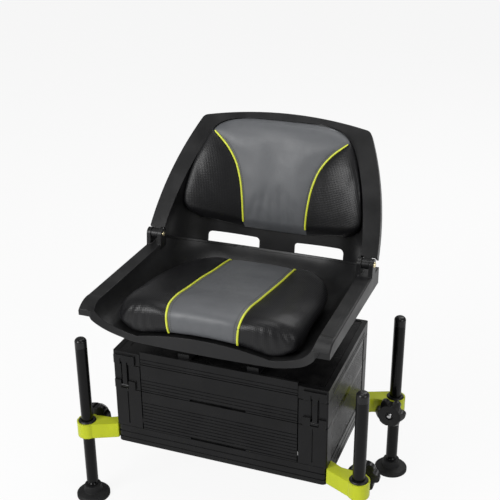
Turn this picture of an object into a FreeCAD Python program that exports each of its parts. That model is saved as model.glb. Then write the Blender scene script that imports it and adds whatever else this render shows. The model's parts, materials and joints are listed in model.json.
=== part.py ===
"""Fishing seat box: a folding, swivelling bucket seat on a two-drawer box with clamped legs.

Millimetres, +Z up. The origin is on the floor, at the centre of the whole footprint.
The angler sits facing -Y. Left and right are the angler's: left is -X.
"""
import FreeCAD
import Part
import math
import os

V = FreeCAD.Vector

# Driving dimensions of the box
BOX_W = 456.0            # across the corner castings
BOX_D = 299.0            # front face to back face
BOX_TOP = 370.0          # rim of the lid above the floor
BOX_FRONT = -177.1       # y of the front face, so that the footprint is centred on the origin
BOX_BACK = BOX_FRONT + BOX_D
LID_BOTTOM = BOX_TOP - 28.0
PANEL_SPLIT = BOX_TOP - 22.0
UPPER_BOTTOM = BOX_TOP - 85.0
LOWER_BOTTOM = BOX_TOP - 177.0
FRAME_BOTTOM = BOX_TOP - 217.0
FRAME_W = 24.0           # width of the base frame's beam, a channel open inward
FRAME_T = 4.0
PANEL_HALF = 168.0       # half the width of the front panels
PANEL_PLAY = 1.1         # gap on each side of the line between a front panel and its casting
PANEL_T = 6.0
CORNER_SIDE = 30.0       # how far a corner casting runs along the side
CASTING_T = 12.0
WALL_T = 4.0
SPLIT_GAP = 0.9          # gap between stacked units and round the drawer fronts
RIM_W = 11.0             # width of the lid's rim beside its top plate
BOX_HINGE_X = 110.0      # the lid's two hinges stand this far to the sides

# Driving dimensions of the legs and their clamps
LEG_X = 295.5
LEG_FRONT_Y = BOX_FRONT - 9.0
LEG_BACK_Y = BOX_FRONT + 303.5
LEG_R = 12.5
LEG_WALL = 2.0
LEG_TOP = BOX_TOP + 20.0
CAP_H = 20.0
ARM_TOP = BOX_TOP - 178.0
ARM_H = 34.0
HEAD_R = 22.0
KNOB_R = 33.0
KNOB_H = 22.0
KNOB_FACE = 34.5         # the knob's inner face stands this far from the leg's axis
KNOB_LOBES = 6
KNOB_Z = ARM_TOP - 0.5 * ARM_H
STUD_R = 4.0
FOOT_R = 36.0
FOOT_BALL_Z = 24.0
BALL_R = 11.0
RUN = 0.3                # clearance between pieces that turn or slide on each other

# Driving dimensions of the seat, taken back from the box's front face and up from its rim
SEAT_HALF = 250.0
RAIL_W = 30.0
RAIL_TOP = BOX_TOP + 142.0
RAIL_FRONT = BOX_FRONT - 80.0
RAIL_BACK = BOX_FRONT + 277.0
HINGE_Y = BOX_FRONT + 232.5
HINGE_Z = BOX_TOP + 164.0
SEAM_Y = BOX_FRONT + 246.0
SEAM_Z = BOX_TOP + 154.0
SEAM_SLOPE = -0.45
SEAM_GAP = 0.7
SHELL_T = 4.5
SWIVEL_Y = BOX_FRONT + 0.5 * BOX_D
RECLINE = 38.0           # lean of the backrest's flange, degrees from upright
EAR_R = 12.0
EAR_T = 9.0
PIN_R = 4.0
FLANGE_FACE = 3.0        # the flange's front face lies this far behind the pin's centre
FLANGE_DEPTH = 20.0
BACK_H = 303.0           # pin to the crown of the backrest, along the flange


def mirror_x(shape):
    return shape.mirror(V(0, 0, 0), V(1, 0, 0))


def both_sides(s):
    """The function that leaves a right-hand shape (s is 1) or turns it into a left-hand one."""
    return mirror_x if s < 0 else lambda shape: shape


def box(x0, x1, y0, y1, z0, z1):
    return Part.makeBox(x1 - x0, y1 - y0, z1 - z0, V(x0, y0, z0))


def polygon(points):
    return Part.Face(Part.makePolygon(points + [points[0]]))


def prism_x(points_yz, x0, x1):
    """A profile given in y and z, extruded along X."""
    return polygon([V(x0, y, z) for y, z in points_yz]).extrude(V(x1 - x0, 0, 0))


def prism_y(points_xz, y0, y1):
    """A profile given in x and z, extruded along Y."""
    return polygon([V(x, y0, z) for x, z in points_xz]).extrude(V(0, y1 - y0, 0))


def fuse(shapes):
    whole = shapes[0]
    for shape in shapes[1:]:
        whole = whole.fuse(shape)
    return whole.removeSplitter()


def cut(shape, tools):
    for tool in tools:
        shape = shape.cut(tool)
    return shape


def round_vertical(shape, radius, keep):
    """Round those edges that run along Z and whose middle satisfies keep(x, y)."""
    edges = []
    for edge in shape.Edges:
        low, high = edge.BoundBox.ZMin, edge.BoundBox.ZMax
        upright = edge.BoundBox.XLength < 0.01 and edge.BoundBox.YLength < 0.01
        if upright and high - low > 1.0 and keep(edge.BoundBox.XMin, edge.BoundBox.YMin):
            edges.append(edge)
    return shape.makeFillet(radius, edges)


def cylinder(radius, length, start, axis):
    return Part.makeCylinder(radius, length, start, axis)


# Box units

def ribbed_strip(z0, z1, thick, rib_from, rib_to, pitch=7.5, groove=2.6, deep=1.2):
    """An extruded panel's section as (depth, height) points, grooved between two heights."""
    flank = 0.6
    points = [(0.0, z0)]
    count = int((rib_to - rib_from) / pitch)
    for i in range(count):
        low = rib_from + i * pitch
        points += [(0.0, low), (deep, low + flank), (deep, low + groove - flank), (0.0, low + groove)]
    points += [(0.0, z1), (thick, z1), (thick, z0)]
    return points


def front_panel(z0, z1, rib_from, rib_to):
    strip = ribbed_strip(z0, z1, PANEL_T, rib_from, rib_to)
    half = PANEL_HALF - PANEL_PLAY
    return prism_x([(BOX_FRONT + d, z) for d, z in strip], -half, half)


def side_wall(z0, z1, runner_top):
    """The right wall of a unit: a ribbed extrusion with the drawer's runner web on its inside."""
    outer = 0.5 * BOX_W - 1.0
    strip = ribbed_strip(z0, z1, WALL_T, z0 + 5.0, z1 - 3.0, 6.4, 2.6, 1.4)
    y0, y1 = BOX_FRONT + CORNER_SIDE, BOX_BACK - CORNER_SIDE
    wall = prism_y([(outer - d, z) for d, z in strip], y0, y1)
    web = prism_y([(outer - WALL_T, runner_top - 3), (156, runner_top - 3), (156, runner_top),
                   (outer - WALL_T - 8, runner_top), (outer - WALL_T, runner_top + 8)], y0, y1)
    return fuse([wall, web])


def corner_casting(z0, z1, front):
    """A right-hand corner casting: an L in plan, its outer corner rounded."""
    half = 0.5 * BOX_W
    y_face = BOX_FRONT if front else BOX_BACK
    s = 1.0 if front else -1.0
    fit = 0.2
    inner = PANEL_HALF + (PANEL_PLAY if front else fit)
    plan = [(inner, 0), (half, 0), (half, CORNER_SIDE - fit),
            (half - CASTING_T, CORNER_SIDE - fit), (half - CASTING_T, CASTING_T),
            (inner, CASTING_T)]
    points = [V(x, y_face + s * d, z0) for x, d in plan]
    body = polygon(points).extrude(V(0, 0, z1 - z0))
    return round_vertical(body, 4.0, lambda x, y: x > half - 0.01 and abs(y - y_face) < 0.01)


LATCH_X = 202.5
LATCH_STEM = 10.0
LATCH_HEAD = 16.0
LATCH_T = 4.0
LATCH_PIVOT_Z = BOX_TOP - 77.0
LATCH_TOP = BOX_TOP - 14.5
LATCH_PIN_R = 1.6
BLOCK_PROUD = 4.0
BLOCK_X0, BLOCK_X1 = 179.0, 225.0


def raised_block(z0, z1):
    """A raised pad on the front of a casting, its face drafted back at top and bottom."""
    d = BLOCK_PROUD
    profile = [(BOX_FRONT + 0.5, z0), (BOX_FRONT - d, z0 + 0.8), (BOX_FRONT - d, z1 - 0.8),
               (BOX_FRONT + 0.5, z1)]
    return prism_x(profile, BLOCK_X0, BLOCK_X1)


def latch_channel(z0, z1):
    half = 0.5 * LATCH_HEAD + 0.6
    return box(LATCH_X - half, LATCH_X + half, BOX_FRONT - 10, BOX_FRONT + 2.4, z0, z1)


def lower_front_casting():
    """The lower unit's front corner, with the upright groove that the next unit's link would use."""
    body = corner_casting(LOWER_BOTTOM + SPLIT_GAP, UPPER_BOTTOM - SPLIT_GAP, True)
    groove_x, groove_half = 198.5, 1.4
    groove = box(groove_x - groove_half, groove_x + groove_half, BOX_FRONT - 1, BOX_FRONT + 2.0,
                 LOWER_BOTTOM + 8.0, UPPER_BOTTOM - 6.0)
    return body.cut(groove)


def upper_front_casting():
    """Pad B of the upper unit, with the pocket in which the latch's lower head turns."""
    body = corner_casting(UPPER_BOTTOM + SPLIT_GAP, LID_BOTTOM - SPLIT_GAP, True)
    pad = raised_block(UPPER_BOTTOM + 1.0, BOX_TOP - 64.0)
    pivot = V(LATCH_X - 11, BOX_FRONT - 0.5, LATCH_PIVOT_Z)
    pocket = latch_channel(LATCH_PIVOT_Z - 5.6, LID_BOTTOM + 1.0)
    well = box(LATCH_X - 8.6, LATCH_X + 8.6, BOX_FRONT - 4, BOX_FRONT + 6.5,
               LATCH_PIVOT_Z - 5.6, LATCH_PIVOT_Z + 6.5)
    cheeks = cylinder(LATCH_PIN_R, 22.0, pivot, V(1, 0, 0))
    return fuse([cut(fuse([body, pad]), [pocket, well]), cheeks])


def latch():
    """The front link: a flat bar with a T at each end, turning on a cross pin in pad B."""
    y0, y1 = BOX_FRONT - 2.5, BOX_FRONT - 2.5 + LATCH_T
    head = 0.5 * LATCH_HEAD
    stem = 0.5 * LATCH_STEM
    low, high = LATCH_PIVOT_Z, LATCH_TOP
    bar = box(LATCH_X - stem, LATCH_X + stem, y0, y1, low, high)
    top = box(LATCH_X - head, LATCH_X + head, y0, y1, high - 7.0, high)
    knuckle = cylinder(4.2, 2 * head, V(LATCH_X - head, BOX_FRONT - 0.5, low), V(1, 0, 0))
    bore_start = V(LATCH_X - head - 1, BOX_FRONT - 0.5, low)
    bore = cylinder(LATCH_PIN_R + 0.05, 2 * head + 2, bore_start, V(1, 0, 0))
    return cut(fuse([bar, top, knuckle]), [bore])


def tray(half_w, y0, y1, z0, z1, wall=2.2, radius=10.0):
    """An open drawer tray with rounded corners, drafted walls and a turned-out rim."""
    def rounded(hw, ya, yb, za, zb, r):
        return round_vertical(box(-hw, hw, ya, yb, za, zb), r, lambda x, y: True)
    outer = rounded(half_w - 3, y0, y1, z0, z1, radius)
    rim = rounded(half_w, y0, y1, z1 - 3, z1, radius)
    inner = rounded(half_w - 3 - wall, y0 + wall, y1 - wall, z0 + wall, z1 + 1, radius - wall)
    return fuse([outer, rim]).cut(inner)


def drawer_front(z0, z1, rib_from, rib_to):
    """A ribbed front with a finger lip rolled out under its top edge."""
    panel = front_panel(z0, z1, rib_from, rib_to)
    grip = box(-60, 60, BOX_FRONT - 1, BOX_FRONT + 4.2, z0 - 1, z0 + 3.0)
    return panel.cut(grip)


def lid_frame():
    """The lid's rim and corner castings, cast in one, open under the top plate."""
    half = 0.5 * BOX_W
    ring = box(-half, half, BOX_FRONT, BOX_BACK, LID_BOTTOM + SPLIT_GAP, BOX_TOP)
    ring = round_vertical(ring, 4.0, lambda x, y: True)
    well = box(-half + RIM_W, half - RIM_W, BOX_FRONT + RIM_W, BOX_BACK - RIM_W, 0, 2 * BOX_TOP)
    seat_of_panel = box(-PANEL_HALF, PANEL_HALF, BOX_FRONT - 1, BOX_FRONT + PANEL_T + 0.2,
                        LID_BOTTOM - 1, BOX_TOP + 1)
    slots = [box(s * 208.0 - 6, s * 208.0 + 6, BOX_BACK - 10.5, BOX_BACK - 6.5, BOX_TOP - 9, BOX_TOP + 1)
             for s in (-1, 1)]
    ledge_out = box(-half + RIM_W - 1, half - RIM_W + 1, BOX_FRONT + RIM_W - 1, BOX_BACK - RIM_W + 1,
                    BOX_TOP - 6, BOX_TOP - 3.5)
    ledge_in = box(-half + RIM_W + 5, half - RIM_W - 5, BOX_FRONT + RIM_W + 5, BOX_BACK - RIM_W - 5,
                   0, 2 * BOX_TOP)
    frame = fuse([ring.cut(well), ledge_out.cut(ledge_in)])
    frame = cut(frame, [seat_of_panel] + slots)
    for sx in (1, -1):
        pad = raised_block(LID_BOTTOM + 1.5, BOX_TOP - 5.5)
        channel = latch_channel(LID_BOTTOM - 2, LATCH_TOP + 0.8)
        if sx < 0:
            pad, channel = mirror_x(pad), mirror_x(channel)
        frame = frame.fuse(pad).cut(channel)
    grooves = []
    for sx in (1, -1):
        for z in (LID_BOTTOM + 6.0, LID_BOTTOM + 13.0):
            x = sx * (half + 0.4)
            grooves.append(box(min(x, x - sx * 1.6), max(x, x - sx * 1.6), BOX_FRONT + CORNER_SIDE,
                               BOX_BACK - CORNER_SIDE, z, z + 2.6))
    return cut(frame, grooves).removeSplitter()


def lid_plate():
    """The top plate, lying on the rim's ledge, with a shallow tray-top swage round its edge."""
    half = 0.5 * BOX_W - RIM_W - 0.4
    y0, y1 = BOX_FRONT + RIM_W + 0.4, BOX_BACK - RIM_W - 0.4
    plate = box(-half, half, y0, y1, BOX_TOP - 3.5, BOX_TOP - 0.5)
    plate = round_vertical(plate, 3.0, lambda x, y: True)
    pan = box(-half + 14, half - 14, y0 + 14, y1 - 14, BOX_TOP - 1.5, BOX_TOP + 1)
    return plate.cut(round_vertical(pan, 8.0, lambda x, y: True))


def hinge_leaf(x, upper):
    """One leaf of a box hinge with its share of the knuckles."""
    y_axis = BOX_BACK + 4.2
    z_axis = LID_BOTTOM
    z0, z1 = (z_axis + 0.6, z_axis + 20) if upper else (z_axis - 24, z_axis - 0.6)
    plate = box(x - 22, x + 22, BOX_BACK, BOX_BACK + 1.8, z0, z1)
    spans = [(-11.7, 11.7)] if upper else [(-22, -12), (12, 22)]
    parts = [plate]
    for a, b in spans:
        barrel = cylinder(4.0, b - a, V(x + a, y_axis, z_axis), V(1, 0, 0))
        z_in = z_axis + (0.6 if upper else -0.6)
        z_far = z_axis + (3.9 if upper else -3.9)
        web = box(x + a, x + b, BOX_BACK, y_axis, min(z_in, z_far), max(z_in, z_far))
        parts += [barrel, web]
    leaf = fuse(parts)
    other = [(-22.5, -11.85), (11.85, 22.5)] if upper else [(-11.85, 11.85)]
    for a, b in other:
        leaf = leaf.cut(cylinder(4.6, b - a, V(x + a, y_axis, z_axis), V(1, 0, 0)))
    return leaf.cut(cylinder(2.05, 60, V(x - 30, y_axis, z_axis), V(1, 0, 0)))


def hinge_rod(x):
    rod = cylinder(2.0, 44.0, V(x - 22, BOX_BACK + 4.2, LID_BOTTOM), V(1, 0, 0))
    head = cylinder(3.2, 1.6, V(x + 22.2, BOX_BACK + 4.2, LID_BOTTOM), V(1, 0, 0))
    neck = cylinder(2.0, 0.4, V(x + 21.9, BOX_BACK + 4.2, LID_BOTTOM), V(1, 0, 0))
    return fuse([rod, head, neck])


# Base frame, clamps and legs

def inset_box(inset, z0, z1, radius):
    """A block with the box's footprint, drawn in all round and rounded at its corners."""
    half = 0.5 * BOX_W - inset
    block = box(-half, half, BOX_FRONT + inset, BOX_BACK - inset, z0, z1)
    return round_vertical(block, radius, lambda x, y: True)


def base_frame():
    """The rectangular frame under the box: a channel section, open inward, with rounded corners."""
    half = 0.5 * BOX_W
    z0, z1 = FRAME_BOTTOM, LOWER_BOTTOM
    frame = inset_box(0.0, z0, z1, 10.0)
    frame = frame.cut(inset_box(FRAME_W, z0 - 1, z1 + 1, 14.0))
    frame = frame.cut(inset_box(FRAME_T, z0 + FRAME_T, z1 - FRAME_T, 6.0))
    for z in (z0 + 10, z0 + 24):
        groove = box(-half - 1, half + 1, BOX_FRONT - 1, BOX_BACK + 1, z, z + 3.0)
        frame = frame.cut(groove.cut(inset_box(1.4, z - 1, z + 4, 8.6)))
    return frame


def clamp_arm(leg_y, knob_dir):
    """A right-hand clamp arm: bolted foot on the frame, waist, and a split head round the leg."""
    root = 0.5 * BOX_W
    z0, z1 = ARM_TOP - ARM_H, ARM_TOP
    inner_y = leg_y + knob_dir * 30.0
    c = V(LEG_X, leg_y, z0)
    head = cylinder(HEAD_R, ARM_H, c, V(0, 0, 1))
    ya, yb = leg_y - 19.0 * knob_dir, leg_y + 40.0 * knob_dir
    if knob_dir > 0 and ya < BOX_FRONT:
        ya = BOX_FRONT + 1.0
    if knob_dir < 0 and ya > BOX_BACK:
        ya = BOX_BACK - 1.0
    neck = leg_y + knob_dir * 22.0
    points = [V(root, ya, z0), V(LEG_X, leg_y - knob_dir * HEAD_R, z0), V(LEG_X, neck, z0),
              V(root + 26, inner_y - knob_dir * 4, z0), V(root, yb, z0)]
    web = polygon(points).extrude(V(0, 0, ARM_H))
    boss_y = leg_y + knob_dir * (LEG_R + 2)
    boss = cylinder(10.0, 19.0, V(LEG_X, boss_y, KNOB_Z), V(0, knob_dir, 0))
    solid = fuse([head, web, boss])
    bore = cylinder(LEG_R + 2.4, ARM_H + 2, c - V(0, 0, 1), V(0, 0, 1))
    stud = cylinder(STUD_R + 0.06, 60, V(LEG_X, leg_y, KNOB_Z), V(0, knob_dir, 0))
    slit = box(LEG_X + 8, LEG_X + 40, leg_y - 1.5, leg_y + 1.5, z0 - 1, z1 + 1)
    return cut(solid, [bore, stud, slit])


def collar(leg_y):
    """The black bush that lines a clamp head and shows as a ring on top of it."""
    z0, z1 = ARM_TOP - ARM_H, ARM_TOP
    sleeve = cylinder(LEG_R + 2.3, ARM_H, V(LEG_X, leg_y, z0), V(0, 0, 1))
    lip = Part.makeCone(LEG_R + 6.5, LEG_R + 4.0, 3.0, V(LEG_X, leg_y, z1), V(0, 0, 1))
    bore = cylinder(LEG_R + 0.06, ARM_H + 10, V(LEG_X, leg_y, z0 - 2), V(0, 0, 1))
    return fuse([sleeve, lip]).cut(bore)


def knob(leg_y, knob_dir):
    """The clamp's star knob: lobes round a hub, with its steel stud."""
    axis = V(0, knob_dir, 0)
    start = V(LEG_X, leg_y + knob_dir * KNOB_FACE, KNOB_Z)
    lobe_r = 9.0
    lobed = [cylinder(KNOB_R - 9.0, KNOB_H, start, axis)]
    for i in range(KNOB_LOBES):
        a = 2 * math.pi * i / KNOB_LOBES
        offset = V(math.cos(a), 0, math.sin(a)) * (KNOB_R - lobe_r)
        lobed.append(cylinder(lobe_r, KNOB_H, start + offset, axis))
    trim = Part.makeCone(KNOB_R + 6.0, KNOB_R - 8.0, KNOB_H, start, axis)
    body = fuse(lobed).common(trim)
    hollow_r, hollow_depth = 9.0, 2.5
    body = body.cut(cylinder(hollow_r, hollow_depth + 1.0, start + axis * (KNOB_H - hollow_depth), axis))
    stud_start = LEG_R + 3.0
    stud_end = KNOB_FACE + KNOB_H - 5.0
    stud = cylinder(STUD_R, stud_end - stud_start, V(LEG_X, leg_y + knob_dir * stud_start, KNOB_Z), axis)
    return fuse([body, stud])


def leg(leg_y):
    """A leg tube with the ball end that carries its foot."""
    z0 = FOOT_BALL_Z + 14.0
    z1 = LEG_TOP - CAP_H
    tube = cylinder(LEG_R, z1 - z0, V(LEG_X, leg_y, z0), V(0, 0, 1))
    bore = cylinder(LEG_R - LEG_WALL, z1 - z0, V(LEG_X, leg_y, z0 + 4), V(0, 0, 1))
    ball = Part.makeSphere(BALL_R, V(LEG_X, leg_y, FOOT_BALL_Z))
    neck = cylinder(6.5, z0 - FOOT_BALL_Z, V(LEG_X, leg_y, FOOT_BALL_Z), V(0, 0, 1))
    return fuse([tube.cut(bore), ball, neck])


def leg_cap(leg_y):
    """A domed plug in the top of a leg: spigot, straight side, rounded shoulder and flat crown."""
    z0 = LEG_TOP - CAP_H
    spigot_r, spigot_h = LEG_R - LEG_WALL, 18.0
    dome, crown_r = 9.0, 5.0

    def at(r, z):
        return V(LEG_X + r, leg_y, z)
    shoulder = at(crown_r + 0.72 * (LEG_R - crown_r), LEG_TOP - 0.3 * dome)
    corners = [at(crown_r, LEG_TOP), at(0, LEG_TOP), at(0, z0 - spigot_h), at(spigot_r, z0 - spigot_h),
               at(spigot_r, z0), at(LEG_R, z0), at(LEG_R, LEG_TOP - dome)]
    edges = [Part.makeLine(a, b) for a, b in zip(corners, corners[1:])]
    edges.append(Part.Arc(corners[-1], shoulder, corners[0]).toShape())
    return Part.Face(Part.Wire(edges)).revolve(at(0, 0), V(0, 0, 1), 360)


def foot(leg_y):
    """A round mud foot: dished pad and a cup that holds the leg's ball."""
    c = V(LEG_X, leg_y, 0)
    profile = [(0, 0), (FOOT_R, 0), (FOOT_R, 5), (FOOT_R - 3, 8), (20, 12), (17.5, 27), (0, 27)]
    face = polygon([V(LEG_X + r, leg_y, z) for r, z in profile])
    body = face.revolve(c, V(0, 0, 1), 360)
    socket = Part.makeSphere(BALL_R + RUN, V(LEG_X, leg_y, FOOT_BALL_Z))
    mouth = Part.makeCone(8.6, 22.0, 16.0, V(LEG_X, leg_y, FOOT_BALL_Z + 1.0), V(0, 0, 1))
    return cut(body, [socket, mouth])


# Swivel and its mounting straps

STRAP_X = 73.0
STRAP_W = 24.0
STRAP_T = 3.0
STRAP_TAB = 17.0         # the turned-up ends stand this far above the rim
STRAP_Z = BOX_TOP - 0.5
SWIVEL_PLATE = 178.0
SWIVEL_BASE_Z = STRAP_Z + STRAP_T
BEARING_R = 62.0
BEARING_H = 12.0
SWIVEL_TOP_Z = SWIVEL_BASE_Z + 3.0 + BEARING_H
SEAT_BASE_Z = SWIVEL_TOP_Z + 3.0
BOLT_HALF = 63.5         # half of the 127 mm square on which the seat is screwed


def mount_strap():
    """A steel strap across the lid, cranked over the rim and turned up behind the front panel."""
    x0, x1 = STRAP_X - 0.5 * STRAP_W, STRAP_X + 0.5 * STRAP_W
    t = STRAP_T
    low, over, top = STRAP_Z, BOX_TOP + 0.6, BOX_TOP + STRAP_TAB
    tab, rim_end, flat_end = BOX_FRONT + 6.8, BOX_FRONT + 13.0, BOX_FRONT + 18.0
    crank = [(flat_end, low), (rim_end, over), (tab, over), (tab, top), (tab + t, top),
             (tab + t, over + t), (rim_end, over + t), (flat_end, low + t)]
    front = prism_x(crank, x0, x1)
    back = front.mirror(V(0, SWIVEL_Y, 0), V(0, 1, 0))
    flat = box(x0, x1, flat_end, 2 * SWIVEL_Y - flat_end, low, low + t)
    return fuse([flat, front, back])


def swivel_plate(z, thick, dish):
    """A square pressed plate with rounded corners and four screw holes."""
    h = 0.5 * SWIVEL_PLATE
    plate = box(-h, h, SWIVEL_Y - h, SWIVEL_Y + h, z, z + thick)
    plate = round_vertical(plate, 16.0, lambda x, y: True)
    holes = [cylinder(3.2, thick + 2, V(sx * BOLT_HALF, SWIVEL_Y + sy * BOLT_HALF, z - 1), V(0, 0, 1))
             for sx in (-1, 1) for sy in (-1, 1)]
    holes.append(cylinder(dish, thick + 2, V(0, SWIVEL_Y, z - 1), V(0, 0, 1)))
    return cut(plate, holes)


def swivel_base():
    z = SWIVEL_BASE_Z
    plate = swivel_plate(z, 3.0, 20.0)
    race = cylinder(BEARING_R, 4.0, V(0, SWIVEL_Y, z + 3.0), V(0, 0, 1))
    return fuse([plate, race.cut(cylinder(34.0, 6.0, V(0, SWIVEL_Y, z + 2), V(0, 0, 1)))])


def swivel_bearing():
    """The plastic ball ring between the two plates."""
    z = SWIVEL_BASE_Z + 7.0
    ring = cylinder(BEARING_R, BEARING_H - 8.0, V(0, SWIVEL_Y, z), V(0, 0, 1))
    return ring.cut(cylinder(36.0, BEARING_H, V(0, SWIVEL_Y, z - 1), V(0, 0, 1)))


def swivel_top():
    z = SWIVEL_TOP_Z
    plate = swivel_plate(z, 3.0, 8.0)
    race = cylinder(BEARING_R, 4.0 - RUN, V(0, SWIVEL_Y, z - 4.0 + RUN), V(0, 0, 1))
    return fuse([plate, race.cut(cylinder(34.0, 6.0, V(0, SWIVEL_Y, z - 5), V(0, 0, 1)))])


def swivel_rivet():
    """The hollow centre rivet that keeps the bearing together."""
    z = SWIVEL_BASE_Z
    shank = cylinder(7.9, SWIVEL_TOP_Z + 3.0 - z, V(0, SWIVEL_Y, z), V(0, 0, 1))
    foot_flange = cylinder(30.0, 1.5, V(0, SWIVEL_Y, z + 3.0), V(0, 0, 1))
    head = cylinder(12.0, 1.6, V(0, SWIVEL_Y, SWIVEL_TOP_Z + 3.0 + 0.2), V(0, 0, 1))
    neck = cylinder(7.9, 0.4, V(0, SWIVEL_Y, SWIVEL_TOP_Z + 2.9), V(0, 0, 1))
    bore = cylinder(4.0, 60, V(0, SWIVEL_Y, z - 5), V(0, 0, 1))
    return fuse([shank, foot_flange, neck, head]).cut(bore)


# Seat shell

def d_outline(half, y_front, y_back, radius, big, bulge=0.0):
    """A D in plan: straight sides, tangent corner arcs and a bowed back, in the plane z = 0.

    The front edge is a line, or an arc bulging forward by bulge.
    """
    centre = V(0, y_back - big, 0)
    rise = math.sqrt((big - radius) ** 2 - (half - radius) ** 2)
    corner = V(half - radius, centre.y + rise, 0)
    outward = (corner - centre).normalize()
    tangent = corner + outward * radius
    mid_dir = (V(1, 0, 0) + outward).normalize()
    mid = corner + mid_dir * radius

    def flip(p):
        return V(-p.x, p.y, p.z)
    side = V(half, corner.y, 0)
    front = V(half, y_front, 0)
    if bulge:
        front_edge = Part.Arc(front, V(0, y_front - bulge, 0), flip(front)).toShape()
    else:
        front_edge = Part.makeLine(front, flip(front))
    edges = [Part.makeLine(flip(front), flip(side)),
             Part.Arc(flip(side), flip(mid), flip(tangent)).toShape(),
             Part.Arc(flip(tangent), V(0, y_back, 0), tangent).toShape(),
             Part.Arc(tangent, mid, side).toShape(),
             Part.makeLine(side, front),
             front_edge]
    return Part.Wire(edges)


def tilted(wire, slope, z_at_origin):
    angle = math.degrees(math.atan(slope))
    wire.Placement = FreeCAD.Placement(V(0, 0, z_at_origin), FreeCAD.Rotation(V(1, 0, 0), angle))
    return wire


# Contours of the bucket's inside: share of the height from floor to rim, half width,
# back edge behind the box front, corner radius
BUCKET = [(0.0, 128.0, 262.0, 60.0),
          (0.07, 158.0, 298.0, 86.0),
          (0.25, 187.0, 331.0, 106.0),
          (0.5, 205.0, 351.0, 117.0),
          (1.0, 219.5, 369.0, 122.0),
          (1.5, 224.0, 382.0, 124.0)]
FLOOR_Z = BOX_TOP + 64.0
FLOOR_REF = BOX_FRONT + 250.0
FLOOR_SLOPE = -0.065
LOFT_FRONT = BOX_FRONT - 110.0


def bucket(out, drop):
    """The bucket as a solid, grown sideways by out and lowered by drop."""
    wires = []
    for share, half, back, radius in BUCKET:
        slope = FLOOR_SLOPE * (1.0 - min(share, 1.0))
        z_ref = FLOOR_Z * (1.0 - share) + RAIL_TOP * share - drop * max(0.0, 1.0 - share)
        z_origin = z_ref - slope * FLOOR_REF
        wire = d_outline(half + out, LOFT_FRONT, BOX_FRONT + back + out, radius + out, 640.0)
        wires.append(tilted(wire, slope, z_origin))
    return Part.makeLoft(wires, True, False)


def front_plan(grow):
    """What lies in front of the seat's bowed front edge, as a tall prism to cut away."""
    f = BOX_FRONT
    pts = [V(-300, f - 83, 0), V(-222, f - 83, 0), V(-198, f - 70, 0), V(-168, f - 65, 0),
           V(0, f - 71, 0), V(168, f - 65, 0), V(198, f - 70, 0), V(222, f - 83, 0), V(300, f - 83, 0)]
    pts = [p + V(0, grow, 0) for p in pts]
    edges = [Part.makeLine(pts[0], pts[1]), Part.Arc(pts[1], pts[2], pts[3]).toShape(),
             Part.Arc(pts[3], pts[4], pts[5]).toShape(), Part.Arc(pts[5], pts[6], pts[7]).toShape(),
             Part.makeLine(pts[7], pts[8])]
    far = [V(300, f - 200, 0), V(-300, f - 200, 0)]
    edges += [Part.makeLine(pts[8], far[0]), Part.makeLine(far[0], far[1]),
              Part.makeLine(far[1], pts[0])]
    return Part.Face(Part.Wire(edges)).extrude(V(0, 0, 1000))


NOSE_FOOT, NOSE_RUN = BOX_TOP + 130.0, 42.0


def nose(inset):
    """Three points of the arc over the rail's front end, seen from the side."""
    f, top = RAIL_FRONT, RAIL_TOP - inset
    return [V(0, f + inset, NOSE_FOOT - inset), V(0, f + 14, top - 3.2), V(0, f + NOSE_RUN, top)]


def rail():
    """The right arm rail: a hollow flange, rounded down at the front, open underneath."""
    x0, x1 = SEAT_HALF - RAIL_W, SEAT_HALF
    top, f, b = RAIL_TOP, RAIL_FRONT, RAIL_BACK

    def profile(inset):
        t = inset
        through = 40.0 if t > 0 else 0.0
        p = [V(0, f + t, BOX_TOP + 117 - through)] + nose(t)
        p += [V(0, b - t, top - t), V(0, b - t, BOX_TOP + 104 - through)]
        edges = [Part.makeLine(p[0], p[1]), Part.Arc(p[1], p[2], p[3]).toShape(),
                 Part.makeLine(p[3], p[4]), Part.makeLine(p[4], p[5]), Part.makeLine(p[5], p[0])]
        return Part.Face(Part.Wire(edges))

    def extruded(face, xa, xb):
        face.translate(V(xa, 0, 0))
        return face.extrude(V(xb - xa, 0, 0))
    outer = extruded(profile(0.0), x0, x1)
    edges = [e for e in outer.Edges if e.BoundBox.XLength < 0.01 and e.BoundBox.ZMax > top - 14.0
             and e.BoundBox.YLength > 20.0 and abs(e.BoundBox.XMin - x1) < 0.01]
    outer = outer.makeFillet(3.0, edges)
    inner = extruded(profile(SHELL_T), x0 + 3.0, x1 - SHELL_T)
    return outer.cut(inner)


def ear(x0):
    """One upright hinge ear on the rail's rear end, its top rounded about the pin."""
    y, z = HINGE_Y, HINGE_Z
    low = RAIL_TOP - 8.0
    edges = [Part.makeLine(V(x0, y - 15, low), V(x0, y - EAR_R, z)),
             Part.Arc(V(x0, y - EAR_R, z), V(x0, y, z + EAR_R), V(x0, y + EAR_R, z)).toShape(),
             Part.makeLine(V(x0, y + EAR_R, z), V(x0, y + 12.5, low)),
             Part.makeLine(V(x0, y + 12.5, low), V(x0, y - 15, low))]
    return Part.Face(Part.Wire(edges)).extrude(V(EAR_T, 0, 0))


EAR_INNER_X = 216.0
EAR_OUTER_X = SEAT_HALF - EAR_T
TONGUE_X0 = EAR_INNER_X + EAR_T + 0.6
TONGUE_X1 = EAR_OUTER_X - 0.6


def seam_profile(offset):
    """The parting line of pan and backrest as (y, z) points, moved up by offset."""
    y_end = SEAM_Y + 220.0
    return [(SEAM_Y - 32.0, RAIL_TOP + max(offset, 0.0)), (SEAM_Y, SEAM_Z + offset),
            (y_end, SEAM_Z + offset + SEAM_SLOPE * (y_end - SEAM_Y))]


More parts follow.
